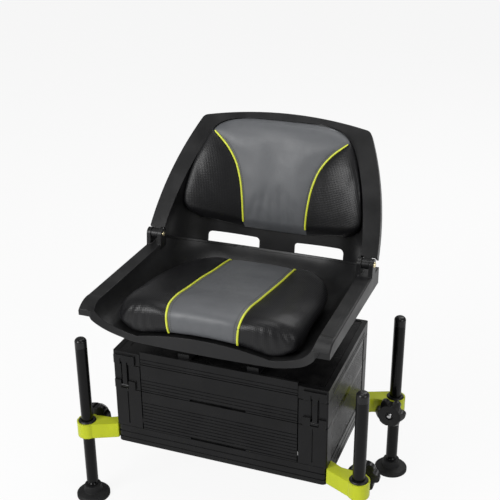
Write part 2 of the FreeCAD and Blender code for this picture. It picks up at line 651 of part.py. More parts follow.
def above_seam():
    """What is cut off the pan: everything above its rails, their noses and the parting line."""
    x, front, high = -300.0, BOX_FRONT - 200.0, 900.0
    a, m, b = (p + V(x, 0, 0) for p in nose(0.0))
    points = [b] + [V(x, y, z) for y, z in seam_profile(-SEAM_GAP)]
    points += [V(x, points[-1].y, high), V(x, front, high), V(x, front, a.z), a]
    edges = [Part.Arc(a, m, b).toShape()] + [Part.makeLine(p, q) for p, q in zip(points, points[1:])]
    return Part.Face(Part.Wire(edges)).extrude(V(-2 * x, 0, 0))


def below_seam():
    """What is cut off the backrest: everything below the parting line."""
    line = seam_profile(SEAM_GAP)
    front, y_end = BOX_FRONT - 200.0, line[-1][0]
    return prism_x([(front, line[0][1])] + line + [(y_end, -100), (front, -100)], -300, 300)


# The swell of the pan's floor: place behind the box front, half width, rise
CROWN = [(-90.0, 150.0, 22.0), (-30.0, 140.0, 15.0), (110.0, 110.0, 1.5)]


def floor_z(y):
    """Height of the pan's floor at a place behind the box front."""
    return FLOOR_Z + FLOOR_SLOPE * (BOX_FRONT + y - FLOOR_REF)


def crown_rise(y):
    """Rise of the swell at a place behind the box front, by straight steps, never below nothing."""
    (ya, _, ra), (yb, _, rb) = CROWN[:2] if y < CROWN[1][0] else CROWN[1:]
    return max(0.0, ra + (rb - ra) * (y - ya) / (yb - ya))


def front_crown():
    """The swell of the pan's floor behind its front edge, under the angler's thighs."""
    wires = []
    for y, half, rise in CROWN:
        z = floor_z(y) - 2.0
        yy = BOX_FRONT + y
        a, b, m = V(-half, yy, z), V(half, yy, z), V(0, yy, z + rise)
        wires.append(Part.Wire([Part.Arc(a, m, b).toShape(), Part.makeLine(b, a)]))
    return Part.makeLoft(wires, True, False)


def pan_inside():
    """The open space in the pan, with the swell left standing."""
    return bucket(0.0, 0.0).cut(front_crown())


def pedestal():
    """The moulded box under the pan that stands on the swivel, with its screw bosses."""
    z0, z1 = SEAT_BASE_Z, BOX_TOP + 78.0

    def ring(half, z):
        return Part.makePolygon([V(-half, SWIVEL_Y - half, z), V(half, SWIVEL_Y - half, z),
                                 V(half, SWIVEL_Y + half, z), V(-half, SWIVEL_Y + half, z),
                                 V(-half, SWIVEL_Y - half, z)])
    foot_half, head_half, wall, rib_half = 84.0, 100.0, 4.0, 1.5
    outer = Part.makeLoft([ring(foot_half, z0), ring(head_half, z1)], True, True)
    inner = Part.makeLoft([ring(foot_half - wall, z0), ring(head_half - wall, z1)], True, True)
    parts = [outer.cut(inner),
             box(-rib_half, rib_half, SWIVEL_Y - foot_half, SWIVEL_Y + foot_half, z0 + 6, z1),
             box(-foot_half, foot_half, SWIVEL_Y - rib_half, SWIVEL_Y + rib_half, z0 + 6, z1)]
    for sx in (-1, 1):
        for sy in (-1, 1):
            at = V(sx * BOLT_HALF, SWIVEL_Y + sy * BOLT_HALF, z0)
            parts.append(cylinder(9.0, z1 - z0, at, V(0, 0, 1)))
    return fuse(parts)


def seat_shell():
    """The moulded seat: bucket, rolled front lip, arm rails, hinge ears and pedestal."""
    inside = pan_inside()
    skin = bucket(SHELL_T, 3.5)
    lip = bucket(SHELL_T + 9.0, 13.0).cut(front_plan(0)).common(front_plan(6.0))
    under = pedestal()
    solid = skin.cut(front_plan(0)).fuse(lip).fuse(under)
    for s in (1, -1):
        side = rail()
        solid = solid.fuse(side if s > 0 else mirror_x(side))
    solid = cut(solid, [inside, above_seam()])
    ears = [ear(EAR_INNER_X), ear(EAR_OUTER_X)]
    ears += [mirror_x(e) for e in ears]
    solid = fuse([solid] + ears)
    gap = box(EAR_INNER_X + EAR_T, EAR_OUTER_X, HINGE_Y - 16, HINGE_Y + 20, RAIL_TOP + 1, HINGE_Z + 30)
    bore = cylinder(PIN_R + 0.06, 50, V(EAR_INNER_X - 3, HINGE_Y, HINGE_Z), V(1, 0, 0))
    tools = [gap, mirror_x(gap), bore, mirror_x(bore)]
    for sx in (-1, 1):
        for sy in (-1, 1):
            at = V(sx * BOLT_HALF, SWIVEL_Y + sy * BOLT_HALF, SEAT_BASE_Z - 1)
            tools.append(cylinder(2.6, 18, at, V(0, 0, 1)))
    return cut(solid, tools)


def hinge_pin():
    """The backrest's pin with its head on the outside and a peened end on the inside."""
    x0, x1 = EAR_INNER_X, SEAT_HALF
    shank = cylinder(PIN_R, x1 - x0 + 2.4, V(x0 - 1.2, HINGE_Y, HINGE_Z), V(1, 0, 0))
    head = Part.makeCone(6.0, 4.6, 2.4, V(x1 + 0.2, HINGE_Y, HINGE_Z), V(1, 0, 0))
    end = Part.makeCone(4.2, 5.4, 1.6, V(x0 - 1.8, HINGE_Y, HINGE_Z), V(1, 0, 0))
    return fuse([shank, head, end])


# Backrest, modelled upright about the hinge pin and then leaned back

def lean(shape):
    turn = FreeCAD.Rotation(V(1, 0, 0), -RECLINE)
    shape = shape.copy()
    shape.Placement = FreeCAD.Placement(V(0, HINGE_Y, HINGE_Z), turn).multiply(shape.Placement)
    return shape


# Contours of the recess: height above the pin, half width, depth behind the pin, corner radius
RECESS = [(-30.0, 219.0, 152.0, 118.0),
          (30.0, 217.0, 134.0, 114.0),
          (70.0, 212.0, 111.0, 96.0),
          (120.0, 203.0, 84.0, 74.0),
          (170.0, 191.0, 59.0, 52.0),
          (220.0, 175.0, 36.0, 32.0),
          (262.0, 157.0, 19.0, 16.0),
          (286.0, 136.0, 8.0, 6.0)]
BACK_BOW = 620.0
RECESS_FRONT = -60.0
SLOT_X0, SLOT_X1 = 41.0, 157.0
SLOT_TOP_INNER, SLOT_TOP_OUTER = BOX_TOP + 129.0, BOX_TOP + 137.0


def recess(out):
    """The hollow of the backrest as a solid open towards the sitter, grown by out."""
    wires = []
    for v, half, depth, radius in RECESS:
        wire = d_outline(half + out, RECESS_FRONT, depth + out, radius + out, BACK_BOW)
        wire.translate(V(0, 0, v + (out * 0.6 if v > 280 else 0)))
        wires.append(wire)
    return Part.makeLoft(wires, True, False)


def flange_outline(inset, y):
    """The backrest's outer edge seen square on: bowed sides and a crowned top."""
    base = [V(253 - inset, y, -20), V(238 - inset, y, 130), V(188 - inset, y, 282 - 0.6 * inset)]
    top = V(0, y, BACK_H - inset)

    def flip(p):
        return V(-p.x, p.y, p.z)
    edges = [Part.Arc(base[0], base[1], base[2]).toShape(),
             Part.Arc(base[2], top, flip(base[2])).toShape(),
             Part.Arc(flip(base[2]), flip(base[1]), flip(base[0])).toShape(),
             Part.makeLine(flip(base[0]), base[0])]
    return Part.Face(Part.Wire(edges))


def flange_slab(inset, y0, y1, radius):
    slab = flange_outline(inset, y0).extrude(V(0, y1 - y0, 0))
    corners = [e for e in slab.Edges if e.BoundBox.ZMin > 270 and e.BoundBox.ZLength < 0.01
               and e.BoundBox.XLength < 0.01]
    return slab.makeFillet(radius, corners)


def slot_tool():
    """The see-through slot at the foot of the backrest's right half, its upper corners rounded."""
    x0, x1 = SLOT_X0, SLOT_X1
    y0, y1 = BOX_FRONT + 290, BOX_FRONT + 420
    low = BOX_TOP + 60.0
    pts = [V(x0, y0, low), V(x1, y0, low), V(x1, y0, SLOT_TOP_OUTER), V(x0, y0, SLOT_TOP_INNER)]
    tool = polygon(pts).extrude(V(0, y1 - y0, 0))
    upper = [e for e in tool.Edges if e.BoundBox.ZMin > BOX_TOP + 120 and e.BoundBox.XLength < 0.01]
    return tool.makeFillet(9.0, upper)


def back_shell():
    """The moulded backrest: flange with a returned edge round a deepening recess."""
    ahead = box(-300, 300, 2 * RECESS_FRONT, FLANGE_FACE, -80, BACK_H + 80)
    skin = recess(SHELL_T).cut(ahead)
    plate = flange_slab(0.0, FLANGE_FACE, FLANGE_FACE + FLANGE_DEPTH, 16.0)
    hollow = flange_slab(SHELL_T, FLANGE_FACE + SHELL_T, FLANGE_FACE + FLANGE_DEPTH + 5, 12.0)
    shell = plate.cut(hollow).fuse(skin)
    tools = [recess(0.0)]
    knuckles = []
    for side in (both_sides(s) for s in (1, -1)):
        tools.append(side(box(TONGUE_X1, 300, -80, 40, -40, 15)))
        tools.append(side(box(TONGUE_X0, TONGUE_X1, -40, 40, -60, 0)))
        tools.append(side(box(EAR_INNER_X - 1, TONGUE_X0, -40, 13, -60, -9)))
        for a, b in ((EAR_INNER_X - 1.0, TONGUE_X0), (TONGUE_X1, SEAT_HALF + 6.0)):
            tools.append(side(cylinder(EAR_R + 4.5, b - a, V(a, 0, 0), V(1, 0, 0))))
        barrel = cylinder(10.5, TONGUE_X1 - TONGUE_X0, V(TONGUE_X0, 0, 0), V(1, 0, 0))
        neck = box(TONGUE_X0, TONGUE_X1, FLANGE_FACE, FLANGE_FACE + 9, 0, 24)
        knuckles.append(side(fuse([barrel, neck])))
    shell = fuse([cut(shell, tools)] + knuckles)
    bore = cylinder(PIN_R + 0.06, 60, V(EAR_INNER_X - 10, 0, 0), V(1, 0, 0))
    shell = lean(cut(shell, [bore, mirror_x(bore)]))
    return cut(shell, [slot_tool(), mirror_x(slot_tool()), below_seam()])


# Cushions

def seat_cushion():
    """Crowned pad with drawn-in sides and a waterfall front, lying in the pan.

    Rows: place behind the box front, half width, half width of the flat underside, then the
    heights of the side and the crown above the rim. The underside rests on the pan's swell.
    """
    rows = [(-67.0, 118.0, 106.0, 111.0, 117.0),
            (-58.0, 148.0, 128.0, 124.0, 146.0),
            (-30.0, 167.0, 130.0, 131.0, 159.0),
            (60.0, 181.0, 124.0, 125.0, 149.0),
            (160.0, 176.0, 118.0, 113.0, 133.0),
            (235.0, 146.0, 108.0, 106.0, 122.0),
            (276.0, 98.0, 84.0, 100.0, 110.0)]
    clear = 2.2
    floor_end, turn_up = BUCKET[0][2], 0.2
    wires = []
    for y, half, foot, side, top in rows:
        yy, z = BOX_FRONT + y, BOX_TOP
        low = floor_z(y) + crown_rise(y) + turn_up * max(0.0, y - floor_end) + clear
        a, b = V(foot, yy, low), V(half, yy, z + side)
        mid = V(foot + 0.78 * (half - foot), yy, low + 0.34 * (b.z - low))

        def flip(p):
            return V(-p.x, p.y, p.z)
        edges = [Part.makeLine(flip(a), a), Part.Arc(a, mid, b).toShape(),
                 Part.Arc(b, V(0, yy, z + top), flip(b)).toShape(),
                 Part.Arc(flip(b), flip(mid), flip(a)).toShape()]
        wires.append(Part.Wire(edges))
    return Part.makeLoft(wires, True, True)


def recess_depth(v, x):
    """How deep the recess is at a height above the pin and a distance to the side."""
    below = max(i for i, row in enumerate(RECESS[:-1]) if row[0] <= v)
    low, high = RECESS[below], RECESS[below + 1]
    share = (v - low[0]) / (high[0] - low[0])
    half, depth, radius = (a + (b - a) * share for a, b in zip(low[1:], high[1:]))
    corner_x = half - radius
    corner_y = depth - BACK_BOW + math.sqrt((BACK_BOW - radius) ** 2 - corner_x ** 2)
    bow = depth - BACK_BOW + math.sqrt(BACK_BOW ** 2 - x ** 2)
    if x <= corner_x:
        return bow
    return min(bow, corner_y + math.sqrt(radius ** 2 - (x - corner_x) ** 2))


def back_cushion():
    """Wrap-round pad, thick in the middle and thin at its drawn-in sides.

    Rows: height above the pin, half width, then the front's depth at the middle and at the sides.
    The back is an arc that clears the recess.
    """
    rows = [(64.0, 164.0, 86.0, 46.0),
            (78.0, 189.0, 74.0, 32.0),
            (120.0, 192.0, 50.0, 15.0),
            (190.0, 175.0, 12.0, -4.0),
            (245.0, 156.0, -16.0, -10.0),
            (272.0, 131.0, -17.0, -10.0),
            (286.0, 96.0, -12.0, -8.0)]
    clear, tuck = 2.6, 3.0
    wires = []
    for v, half, centre, side in rows:
        a, m, b = V(-half, side, v), V(0, centre, v), V(half, side, v)
        c = V(half - tuck, recess_depth(v, half - tuck) - clear, v)
        n, d = V(0, recess_depth(v, 0.0) - clear, v), V(-c.x, c.y, v)
        wires.append(Part.Wire([Part.Arc(a, m, b).toShape(), Part.makeLine(b, c),
                                Part.Arc(c, n, d).toShape(), Part.makeLine(d, a)]))
    return lean(Part.makeLoft(wires, True, True))


def build():
    parts = {}
    parts["base_frame"] = base_frame()
    arm_front, arm_back = clamp_arm(LEG_FRONT_Y, 1), clamp_arm(LEG_BACK_Y, -1)
    parts["clamp_arm_front_right"] = arm_front
    parts["clamp_arm_front_left"] = mirror_x(arm_front)
    parts["clamp_arm_back_right"] = arm_back
    parts["clamp_arm_back_left"] = mirror_x(arm_back)
    collars = [collar(LEG_FRONT_Y), collar(LEG_BACK_Y)]
    parts["clamp_collars"] = Part.Compound(collars + [mirror_x(c) for c in collars])
    for end, leg_y, turn in (("front", LEG_FRONT_Y, 1), ("back", LEG_BACK_Y, -1)):
        made = {"clamp_knob": knob(leg_y, turn), "leg": leg(leg_y),
                "leg_cap": leg_cap(leg_y), "foot": foot(leg_y)}
        for name, shape in made.items():
            parts[f"{name}_{end}_right"] = shape
            parts[f"{name}_{end}_left"] = mirror_x(shape)
    for unit, z0, z1 in (("lower", LOWER_BOTTOM, UPPER_BOTTOM), ("upper", UPPER_BOTTOM, LID_BOTTOM)):
        wall = side_wall(z0 + SPLIT_GAP, z1 - SPLIT_GAP, z0 + 7.0)
        parts[f"{unit}_unit_right_wall"] = wall
        parts[f"{unit}_unit_left_wall"] = mirror_x(wall)
        strip = ribbed_strip(z0 + SPLIT_GAP, z1 - SPLIT_GAP, WALL_T, z0 + 6.0, z1 - 10.0)
        parts[f"{unit}_unit_back_wall"] = prism_x([(BOX_BACK - d, z) for d, z in strip],
                                                  -PANEL_HALF, PANEL_HALF)
        front = upper_front_casting() if unit == "upper" else lower_front_casting()
        back = corner_casting(z0 + SPLIT_GAP, z1 - SPLIT_GAP, False)
        parts[f"{unit}_unit_front_right_corner"] = front
        parts[f"{unit}_unit_front_left_corner"] = mirror_x(front)
        parts[f"{unit}_unit_back_right_corner"] = back
        parts[f"{unit}_unit_back_left_corner"] = mirror_x(back)
    parts["latch_right"] = latch()
    parts["latch_left"] = mirror_x(latch())
    y0, y1 = BOX_FRONT + PANEL_T, BOX_BACK - WALL_T - 4.0
    parts["upper_drawer_tray"] = tray(164.0, y0, y1, UPPER_BOTTOM + 7.0 + RUN, LID_BOTTOM - 3.0)
    parts["lower_drawer_tray"] = tray(164.0, y0, y1, LOWER_BOTTOM + 7.0 + RUN, UPPER_BOTTOM - 3.0)
    parts["upper_drawer_front"] = drawer_front(UPPER_BOTTOM + SPLIT_GAP, PANEL_SPLIT - SPLIT_GAP,
                                               UPPER_BOTTOM + 4.0, PANEL_SPLIT - 22.0)
    parts["lower_drawer_front"] = drawer_front(LOWER_BOTTOM + SPLIT_GAP, UPPER_BOTTOM - SPLIT_GAP,
                                               LOWER_BOTTOM + 4.0, UPPER_BOTTOM - 20.0)
    parts["lid_frame"] = lid_frame()
    parts["lid_front_panel"] = front_panel(PANEL_SPLIT + SPLIT_GAP, BOX_TOP + 7.0,
                                           PANEL_SPLIT + 4.0, BOX_TOP - 2.0)
    parts["lid_plate"] = lid_plate()
    places = (-BOX_HINGE_X, BOX_HINGE_X)
    parts["lid_hinge_lower_leaves"] = Part.Compound([hinge_leaf(x, False) for x in places])
    parts["lid_hinge_upper_leaves"] = Part.Compound([hinge_leaf(x, True) for x in places])
    parts["lid_hinge_rods"] = Part.Compound([hinge_rod(x) for x in places])
    strap = mount_strap()
    parts["mount_straps"] = Part.Compound([strap, mirror_x(strap)])
    parts["swivel_base_plate"] = swivel_base()
    parts["swivel_bearing_ring"] = swivel_bearing()
    parts["swivel_rivet"] = swivel_rivet()
    parts["swivel_top_plate"] = swivel_top()
    parts["seat_shell"] = seat_shell()
    parts["seat_cushion"] = seat_cushion()
    parts["backrest_shell"] = back_shell()
    parts["backrest_cushion"] = back_cushion()
    pin = hinge_pin()
    parts["backrest_pins"] = Part.Compound([pin, mirror_x(pin)])
    return parts


def main():
    parts = build()
    os.makedirs("parts", exist_ok=True)
    low, high = [1e9] * 3, [-1e9] * 3
    for name, shape in sorted(parts.items()):
        bounds = shape.BoundBox
        low = [min(a, b) for a, b in zip(low, (bounds.XMin, bounds.YMin, bounds.ZMin))]
        high = [max(a, b) for a, b in zip(high, (bounds.XMax, bounds.YMax, bounds.ZMax))]
        note = "" if shape.isValid() and shape.Volume > 0 else "  NOT VALID"
        print(f"{name:32s} solids {len(shape.Solids)}  volume {shape.Volume / 1000:9.2f} cm3{note}")
        shape.exportStep(f"parts/{name}.step")
    print("nodes", len(parts), "from", [round(a, 2) for a in low], "to", [round(a, 2) for a in high])


main()
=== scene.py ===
"""Looks of the fishing seat box: cushions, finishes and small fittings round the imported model.

Metres, +Z up, in the model's own frame: the front faces -Y, and the angler's left is -X.
"""
import json
import math
import bpy
import numpy as np
from mathutils import Matrix, Vector


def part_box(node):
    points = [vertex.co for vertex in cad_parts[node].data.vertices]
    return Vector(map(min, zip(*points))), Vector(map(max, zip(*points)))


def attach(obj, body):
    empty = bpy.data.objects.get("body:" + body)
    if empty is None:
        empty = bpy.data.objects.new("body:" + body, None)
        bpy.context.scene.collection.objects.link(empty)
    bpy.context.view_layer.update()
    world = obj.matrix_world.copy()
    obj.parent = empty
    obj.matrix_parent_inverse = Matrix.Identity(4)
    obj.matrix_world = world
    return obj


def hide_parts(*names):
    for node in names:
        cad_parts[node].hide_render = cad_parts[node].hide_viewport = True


bl_info = {
    "name": "Fishing seat box",
    "version": (1, 0, 0),
    "blender": (4, 5, 0),
    "location": "3D View > Sidebar > Seat box",
    "description": "Dresses the seat box with its cushions, finishes and small fittings",
    "category": "Object",
}

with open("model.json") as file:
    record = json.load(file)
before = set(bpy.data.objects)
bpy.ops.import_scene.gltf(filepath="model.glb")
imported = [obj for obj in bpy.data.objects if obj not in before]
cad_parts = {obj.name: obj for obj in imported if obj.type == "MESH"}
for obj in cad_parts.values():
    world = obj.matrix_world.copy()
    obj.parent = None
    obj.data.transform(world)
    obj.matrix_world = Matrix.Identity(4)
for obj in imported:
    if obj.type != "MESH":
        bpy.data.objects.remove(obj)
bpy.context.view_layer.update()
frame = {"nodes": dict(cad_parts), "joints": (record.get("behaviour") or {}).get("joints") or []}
MM = 0.001

# The box's rim and front face and the backrest's pin, from the frame, and the backrest's lean
RIM_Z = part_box("lid_frame")[1].z
PLATE_SETBACK = 11.4 * MM
FRONT_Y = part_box("lid_plate")[0].y - PLATE_SETBACK
HINGE = Vector(next(j for j in frame["joints"] if j["name"] == "backrest_fold")["pos_m"])
RECLINE = math.radians(38.0)


# Sizes and colours that a user would change

class SeatBoxSizes(bpy.types.PropertyGroup):
    piping: bpy.props.FloatProperty(
        name="Piping", description="Radius of the piping's cord", default=0.0021, unit="LENGTH")
    stitch: bpy.props.FloatProperty(
        name="Stitch", description="Length of one stitch beside the piping", default=0.0042,
        unit="LENGTH")
    puff: bpy.props.FloatProperty(
        name="Puff", description="How far a sewn panel may rise over its seams", default=0.004,
        unit="LENGTH")
    pressure: bpy.props.FloatProperty(
        name="Pressure", description="Air pressure that fills the pads", default=1.8)


class SeatBoxColours(bpy.types.PropertyGroup):
    vinyl_grey: bpy.props.FloatVectorProperty(
        name="Grey vinyl", description="Middle panels", subtype="COLOR", size=3,
        default=(0.088, 0.092, 0.099))
    vinyl_black: bpy.props.FloatVectorProperty(
        name="Black vinyl", description="Side panels", subtype="COLOR", size=3,
        default=(0.0045, 0.0045, 0.005))
    piping: bpy.props.FloatVectorProperty(
        name="Piping", description="Cord along the seams", subtype="COLOR", size=3,
        default=(0.66, 0.71, 0.05))
    lime: bpy.props.FloatVectorProperty(
        name="Lime", description="Clamp arms", subtype="COLOR", size=3,
        default=(0.52, 0.58, 0.022))
    plastic: bpy.props.FloatVectorProperty(
        name="Black plastic", description="Moulded seat", subtype="COLOR", size=3,
        default=(0.009, 0.009, 0.0095))
    metal: bpy.props.FloatVectorProperty(
        name="Black metal", description="Castings, panels and legs", subtype="COLOR", size=3,
        default=(0.0052, 0.0052, 0.0056))


class SeatBoxStudio(bpy.types.PropertyGroup):
    lens: bpy.props.FloatProperty(
        name="Lens", description="Focal length of the camera in millimetres", default=70.18)
    key: bpy.props.FloatProperty(
        name="Key", description="Power of the main lamp", default=62.0, unit="POWER")
    sky: bpy.props.FloatProperty(
        name="Sky", description="Strength of the light from all round", default=0.22)


SETTINGS = {"seat_box_sizes": SeatBoxSizes, "seat_box_colours": SeatBoxColours,
            "seat_box_studio": SeatBoxStudio}


def sizes():
    return bpy.context.scene.seat_box_sizes


def colours():
    return bpy.context.scene.seat_box_colours


def studio():
    return bpy.context.scene.seat_box_studio


# Shader node groups, each built once

class Net:
    """Adds nodes to a tree and joins them by the sockets given as inputs."""

    def __init__(self, tree):
        self.tree = tree

    def join(self, value, socket):
        """Links another node's socket to this one, or sets a plain value."""
        if isinstance(value, bpy.types.NodeSocket):
            self.tree.links.new(value, socket)
        else:
            socket.default_value = value

    def add(self, kind, inputs=None, **settings):
        node = self.tree.nodes.new("ShaderNode" + kind)
        for name, value in settings.items():
            setattr(node, name, value)
        for name, value in (inputs or {}).items():
            self.join(value, node.inputs[name])
        return node

    def math(self, operation, a, b, clamp=False):
        return self.add("Math", {0: a, 1: b}, operation=operation, use_clamp=clamp).outputs[0]

    def vector(self, operation, a, b):
        return self.add("VectorMath", {0: a, 1: b}, operation=operation).outputs

    def noise(self, vector, scale, detail, roughness=0.5):
        return self.add("TexNoise", {"Vector": vector, "Scale": scale, "Detail": detail,
                                     "Roughness": roughness}).outputs["Fac"]

    def stretch(self, value, low, high, to_low=0.0, to_high=1.0):
        """The range from low to high, carried over to another one."""
        return self.add("MapRange", {"Value": value, "From Min": low, "From Max": high,
                                     "To Min": to_low, "To Max": to_high}).outputs["Result"]

    def mix(self, factor, a, b):
        """Two colours mixed by a factor."""
        return self.add("Mix", {0: factor, 6: a, 7: b}, data_type="RGBA").outputs[2]


def start_group(name, outputs, **inputs):
    """A new shader group's net and its two ends; each input is of the kind of its default."""
    tree = bpy.data.node_groups.new(name, "ShaderNodeTree")
    for label, value in {"Vector": (0.0, 0.0, 0.0), **inputs}.items():
        kind = "NodeSocketVector" if isinstance(value, tuple) else "NodeSocketFloat"
        socket = tree.interface.new_socket(label, in_out="INPUT", socket_type=kind)
        socket.default_value = value
    for label in outputs:
        tree.interface.new_socket(label, in_out="OUTPUT", socket_type="NodeSocketFloat")
    source = tree.nodes.new("NodeGroupInput").outputs
    end = tree.nodes.new("NodeGroupOutput").inputs
    return Net(tree), source, end


def leather_grain():
    """Vinyl's pebble grain: rounded cells over a slow undulation, with a slight change of tone."""
    net, source, end = start_group("Leather grain", ["Height", "Tone"], Cells=900.0, Folds=60.0)
    cells = net.add("TexVoronoi", {"Vector": source["Vector"], "Scale": source["Cells"],
                                   "Smoothness": 0.6}, feature="SMOOTH_F1")
    folds = net.noise(source["Vector"], source["Folds"], 3.0, 0.55)
    pebble = net.math("SUBTRACT", 1.0, cells.outputs["Distance"])
    net.join(net.math("ADD", pebble, net.math("MULTIPLY", folds, 1.6)), end["Height"])
    net.join(net.stretch(folds, 0.3, 0.7), end["Tone"])
    return net.tree


def mould_grain():
    """Spark-eroded plastic: fine random pits over broad clouds of tone."""
    net, source, end = start_group("Mould grain", ["Height", "Tone"], Scale=1500.0)
    net.join(net.noise(source["Vector"], source["Scale"], 2.0, 0.6), end["Height"])
    net.join(net.stretch(net.noise(source["Vector"], 14.0, 4.0), 0.3, 0.7), end["Tone"])
    return net.tree


def mesh_weave():
    """Diagonal woven bands on a UV map in metres.

    Height is sin(2 pi x / pitch) * sin(2 pi y / pitch), along the map's two diagonals. The second
    output marks the deepest hollows, where shade is painted.
    """
    net, source, end = start_group("Mesh weave", ["Height", "Hollow shade"], Pitch=0.0022)
    turned = net.add("VectorRotate", {"Vector": source["Vector"], "Angle": math.radians(45)},
                     rotation_type="Z_AXIS")
    count = net.math("DIVIDE", 2 * math.pi, source["Pitch"])
    parts = net.add("SeparateXYZ", {0: turned.outputs[0]}).outputs
    waves = [net.math("SINE", net.math("MULTIPLY", parts[i], count), 0.0) for i in (0, 1)]
    weave = net.math("MULTIPLY", *waves)
    net.join(net.stretch(weave, -1.0, 1.0), end["Height"])
    net.join(net.stretch(weave, -0.9, -0.2), end["Hollow shade"])
    return net.tree


def edge_wear_and_highlight():
    """An edge mask where a rounded normal leaves the true one, broken up by noise: worn bare edges
    on metal, a painted highlight on plastic.
    """
    net, source, end = start_group("Edge wear and highlight", ["Mask"], Radius=0.0008, Amount=0.5)
    rounded = net.add("Bevel", {"Radius": source["Radius"]}, samples=4).outputs[0]
    true = net.add("NewGeometry").outputs["Normal"]
    edge = net.stretch(net.vector("DOT_PRODUCT", rounded, true)["Value"], 0.995, 0.86)
    broken = net.stretch(net.noise(source["Vector"], 160.0, 5.0), 0.42, 0.62)
    wear_and_highlight_share = net.math("MULTIPLY", edge, broken)
    net.join(net.math("MULTIPLY", wear_and_highlight_share, source["Amount"], True), end["Mask"])
    return net.tree


def paler_facing_up():
    """A faint paler tone in patches, strongest on faces that look up."""
    net, source, end = start_group("Paler facing up", ["Mask"], Amount=0.5)
    parts = net.add("SeparateXYZ", {0: net.add("NewGeometry").outputs["Normal"]}).outputs
    up = net.stretch(parts[2], 0.1, 1.0)
    patch = net.stretch(net.noise(source["Vector"], 22.0, 8.0, 0.65), 0.4, 0.75)
    pale_patches = net.math("MULTIPLY", up, patch)
    net.join(net.math("MULTIPLY", pale_patches, source["Amount"], True), end["Mask"])
    return net.tree


def drawn_lines():
    """Fine lines left along one direction by extruding or drawing."""
    net, source, end = start_group("Drawn lines", ["Height", "Tone"],
                                   Stretch=(4.0, 900.0, 900.0))
    long = net.vector("MULTIPLY", source["Vector"], source["Stretch"])["Vector"]
    net.join(net.noise(long, 1.0, 3.0), end["Height"])
    net.join(net.stretch(net.noise(source["Vector"], 18.0, 3.0), 0.35, 0.65), end["Tone"])
    return net.tree


GROUP_MAKERS = {"grain": leather_grain, "mould": mould_grain, "weave": mesh_weave,
                "wear": edge_wear_and_highlight, "dust": paler_facing_up, "lines": drawn_lines}
groups = {}


def group(key):
    if key not in groups:
        groups[key] = GROUP_MAKERS[key]()
    return groups[key]


# Materials

def shade(colour, factor=1.0):
    """A colour times a factor, with the fourth number that a colour socket takes."""
    return (colour[0] * factor, colour[1] * factor, colour[2] * factor, 1.0)


class Finish:
    """A material under construction, with its shader, its coordinates and shared groups."""

    def __init__(self, name, metallic=0.0, coat=0.0, coat_roughness=0.2, specular=0.5, sheen=0.0):
        self.material = bpy.data.materials.new(name)
        self.material.use_nodes = True
        tree = self.material.node_tree
        self.net = Net(tree)
        self.shader = tree.nodes["Principled BSDF"]
        for label, value in {"Metallic": metallic, "Coat Weight": coat, "Sheen Weight": sheen,
                             "Coat Roughness": coat_roughness,
                             "Specular IOR Level": specular}.items():
            self.shader.inputs[label].default_value = value
        self.place = self.net.add("TexCoord").outputs["Object"]

    def use(self, key, **values):
        """A shared group's outputs, on Object coordinates unless another Vector is given."""
        node = self.net.add("Group", node_tree=group(key))
        for name, value in {"Vector": self.place, **values}.items():
            self.net.join(value, node.inputs[name])
        return node.outputs

    def colour(self, factor, a, b):
        """Base colour, mixed from a to b."""
        self.net.join(self.net.mix(factor, a, b), self.shader.inputs["Base Color"])

    def roughness(self, value, low, high):
        """Roughness that goes from low to high as the value goes from 0 to 1."""
        self.net.join(self.net.stretch(value, 0.0, 1.0, low, high), self.shader.inputs["Roughness"])

    def bump(self, height, distance, strength, under=None):
        """Relief that stands on the normal given as under."""
        inputs = {"Height": height, "Distance": distance, "Strength": strength}
        if under is not None:
            inputs["Normal"] = under
        normal = self.net.add("Bump", inputs).outputs[0]
        self.net.join(normal, self.shader.inputs["Normal"])
        return normal

    def soft_edges(self, radius):
        """A normal that rounds sharp edges by a radius, for a Bump node to stand on."""
        return self.net.add("Bevel", {"Radius": radius}, samples=4).outputs[0]


def vinyl(name, colour, gloss, spread, cells=900.0):
    """Padded-seat vinyl: pebble grain, slow change of tone and polish."""
    pale_colour = (0.35, 0.34, 0.32, 1.0)
    finish = Finish(name, coat=0.12, coat_roughness=0.35)
    grain = finish.use("grain", Cells=cells)
    dust = finish.use("dust", Amount=0.05)["Mask"]
    toned = finish.net.mix(grain["Tone"], shade(colour, 1 - spread), shade(colour, 1 + spread))
    # Faces that look up take a paler tone in patches.
    finish.colour(dust, toned, pale_colour)
    finish.roughness(grain["Tone"], gloss - 0.05, gloss + 0.06)
    finish.bump(grain["Height"], 0.16 * MM, 0.55)
    return finish.material


def mesh_vinyl(name, colour):
    """Glossy black vinyl embossed with a diagonal mesh, on the pad's own UV map in metres, with
    painted shade in the mesh's hollows.
    """
    finish = Finish(name, coat=0.07, coat_roughness=0.24, specular=0.26)
    uv = finish.net.add("UVMap", uv_map="cloth").outputs[0]
    weave = finish.use("weave", Vector=uv, Pitch=0.0052)
    grain = finish.use("grain", Cells=1100.0)
    # Painted shade: the mesh's hollows take 0.4 of the colour, the rest 1.8.
    finish.colour(weave["Hollow shade"], shade(colour, 0.4), shade(colour, 1.8))
    finish.roughness(weave["Height"], 0.5, 0.28)
    under = finish.bump(grain["Height"], 0.1 * MM, 0.4)
    finish.bump(weave["Height"], 0.4 * MM, 0.6, under)
    return finish.material


